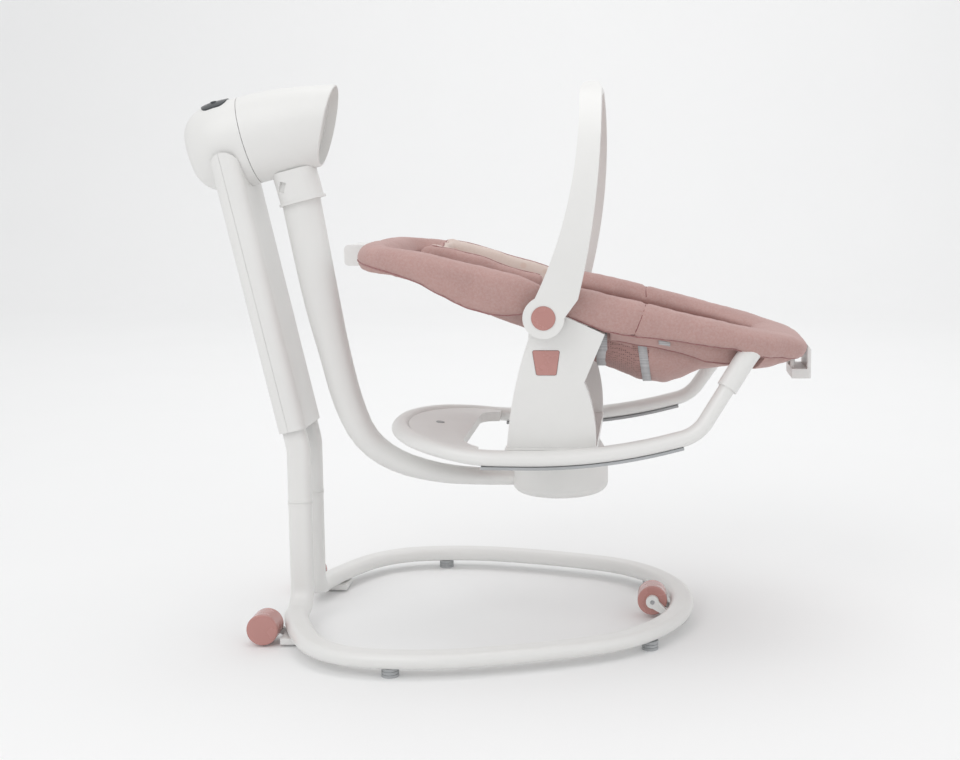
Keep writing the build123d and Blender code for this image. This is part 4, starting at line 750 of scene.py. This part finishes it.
def insert_ring(x, end):
    """Section of the insert across the seat: thick floor and two rounded side walls, filled
    up to a headboard as end goes from 0 to 1."""
    low, high = SPINE(x)
    half, wall = 115 - 10 * end, 27
    floor = low + 21 + end * (high - low - 30)
    corners = [
        (-half + 14, low + 1), (-half, low + 16), (-half - 1, high - 14), (-half + 12, high),
        (-half + wall - 1, high - 12), (-half + wall + 4, floor + 8), (-half + wall + 24, floor - 1),
        (0, floor - 3),
    ]
    corners += [(-y, z) for y, z in reversed(corners[:-1])]
    return [(x * MM, y * MM, z * MM) for y, z in smooth_loop(corners, 72)]


places = [(-116, 1.0), (-110, 1.0), (-100, 0.97), (-92, 0.85), (-84, 0.45), (-74, 0.12), (-60, 0.0)]
places += [(x, 0.0) for x in np.linspace(-48, 78, 16)]
insert = loft("insert_pad", [insert_ring(x, e) for x, e in places], ["seat_fabric", "insert_fabric"])
puff(insert, 3.0, 0.004)
relax(insert, 3)
wrinkle(insert, 0.0014, 0.04)
# The print is inside the seam that runs round the top of the walls.
SEAM_Y, SEAM_END = 104.0, -106
for poly in insert.data.polygons:
    c = poly.center
    low = SPINE(c.x / MM)[0]
    outward = poly.normal.y * math.copysign(1, c.y) > 0.25 or poly.normal.x < -0.25
    inside = abs(c.y) < 0.1035 and c.z > (low + 6) * MM and c.x > -0.105 and not outward
    poly.material_index = 1 if inside else 0
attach(insert, "backrest")
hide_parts("infant_insert")
edge = [(x, SEAM_Y, SPINE(x)[1] + 1) for x in np.linspace(76, -96, 30)]
edge += [(SEAM_END, y, 650) for y in np.linspace(94, -94, 24)]
edge += [(x, -SEAM_Y, SPINE(x)[1] + 1) for x in np.linspace(-96, 76, 30)]
trim("insert_seam", insert, np.array(edge) * MM, 0.0009, "piping", "backrest", 0.0002, (0.004, 0.0015))
for y, tag in ((-0.034, "right"), (0.034, "left")):
    channel = np.array([(x * MM, y, (SPINE(x)[0] + 20) * MM) for x in np.linspace(-60, 74, 30)])
    trim(f"insert_channel_{tag}", insert, channel, 0.0005, "thread", "backrest", 0.0, (0.005, 0.003))

# ---------------------------------------------------------------- harness
# The straps' sizes are in metres.
BELT_X, BELT_BACK = 0.236, 0.085
BELT_IN, BELT_OUT = 0.021, 0.120
BELT_HALF, BELT_THICK = 0.0125, 0.0013
PAD_SECTION = smooth_loop([(-0.019, 0.0005), (-0.019, 0.004), (-0.010, 0.0075), (0.010, 0.0075),
                           (0.019, 0.004), (0.019, 0.0005)], 20)
buckle_low, buckle_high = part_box("harness_buckle")
belt_z = (buckle_low.z + buckle_high.z) / 2 + 0.004
for side, tag in ((-1, "right"), (1, "left")):
    line = [(BELT_X, side * BELT_IN, belt_z)]
    for w in np.linspace(0.08, 1, 24):
        x = BELT_X - BELT_BACK * w
        y = side * (BELT_IN + (BELT_OUT - BELT_IN) * w)
        z = belt_z - 0.020 * math.sin(math.pi * w * 0.8) - 0.004 * w
        line.append((x, y, z))
    line = even(np.array(line))
    strap = strip(f"waist_strap_{tag}", line, [(0, 0, 1)] * len(line), BELT_HALF, BELT_THICK, "webbing")
    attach(strap, "rocker")
    line = [(x * MM, side * 0.048, (SPINE(x)[0] + 23.5) * MM) for x in np.linspace(-74, 74, 36)]
    line = even(project(insert, line, 0.0004))
    strap = strip(f"shoulder_strap_{tag}", line, [(0, 1, 0)] * len(line), BELT_HALF, BELT_THICK, "webbing")
    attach(strap, "backrest")
    rings = [[p + np.array((0, a, b)) for a, b in PAD_SECTION] for p in line[6:-12]]
    pad = loft(f"shoulder_pad_{tag}", rings, "seat_fabric")
    subdivide(pad)
    wrinkle(pad, 0.0012, 0.02)
    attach(pad, "backrest")

# ---------------------------------------------------------------- camera, light, floor
scene = bpy.context.scene
lens = bpy.data.cameras.new("camera")
lens.lens, lens.sensor_width = 50, 36
lens.shift_x, lens.shift_y = -0.15, -0.048
lens.clip_start, lens.clip_end = 0.05, 60
camera = bpy.data.objects.new("camera", lens)
camera.location = (0.249, -2.244, 0.757)
camera.rotation_euler = (math.radians(90 - 6.716), 0, math.radians(1.024))
scene.collection.objects.link(camera)
scene.camera = camera

# Paper sweep: a floor that curves up into the wall behind the object.
BEND_Y, BEND = 5.0, 2.5
profile = [(-40, 0)]
for a in np.linspace(0, math.pi / 2, 24):
    profile.append((BEND_Y + BEND * math.sin(a), BEND - BEND * math.cos(a)))
profile.append((BEND_Y + BEND, 9))
rings = [[(x, y, z) for y, z in profile] for x in (-30, 30)]
floor = loft("studio_sweep", rings, "white_plastic", closed=False)
paper = Nodes("studio_paper", (0.88, 0.88, 0.88), 0.9)
paper.set("Emission Color", (1, 1, 1, 1))
paper.set("Emission Strength", 0.03)
paper.link(paper.shades(0.004, 2), paper.bsdf.inputs["Base Color"])
floor.data.materials.clear()
floor.data.materials.append(paper.mat)


def area(name, place, target, size, power):
    light = bpy.data.lights.new(name, "AREA")
    light.shape, light.size, light.energy = "DISK", size, power
    lamp = bpy.data.objects.new(name, light)
    lamp.location = place
    lamp.rotation_euler = (Vector(target) - Vector(place)).to_track_quat("-Z", "Y").to_euler()
    scene.collection.objects.link(lamp)


area("key", (-1.6, -2.6, 2.9), (0, 0, 0.5), 2.4, 26)
area("fill", (2.8, -2.2, 1.6), (0, 0, 0.5), 2.6, 8)
area("top", (0.2, 0.4, 3.4), (0, 0, 0.4), 2.6, 22)
area("wall", (0, 2.2, 5.2), (0, 7.0, 3.2), 3.5, 84)
world = bpy.data.worlds.new("studio")
world.use_nodes = True
background = world.node_tree.nodes["Background"].inputs
background["Color"].default_value = (0.93, 0.935, 0.94, 1)
background["Strength"].default_value = 0.80
scene.world = world
scene.view_settings.view_transform = "Standard"
scene.view_settings.look = "None"
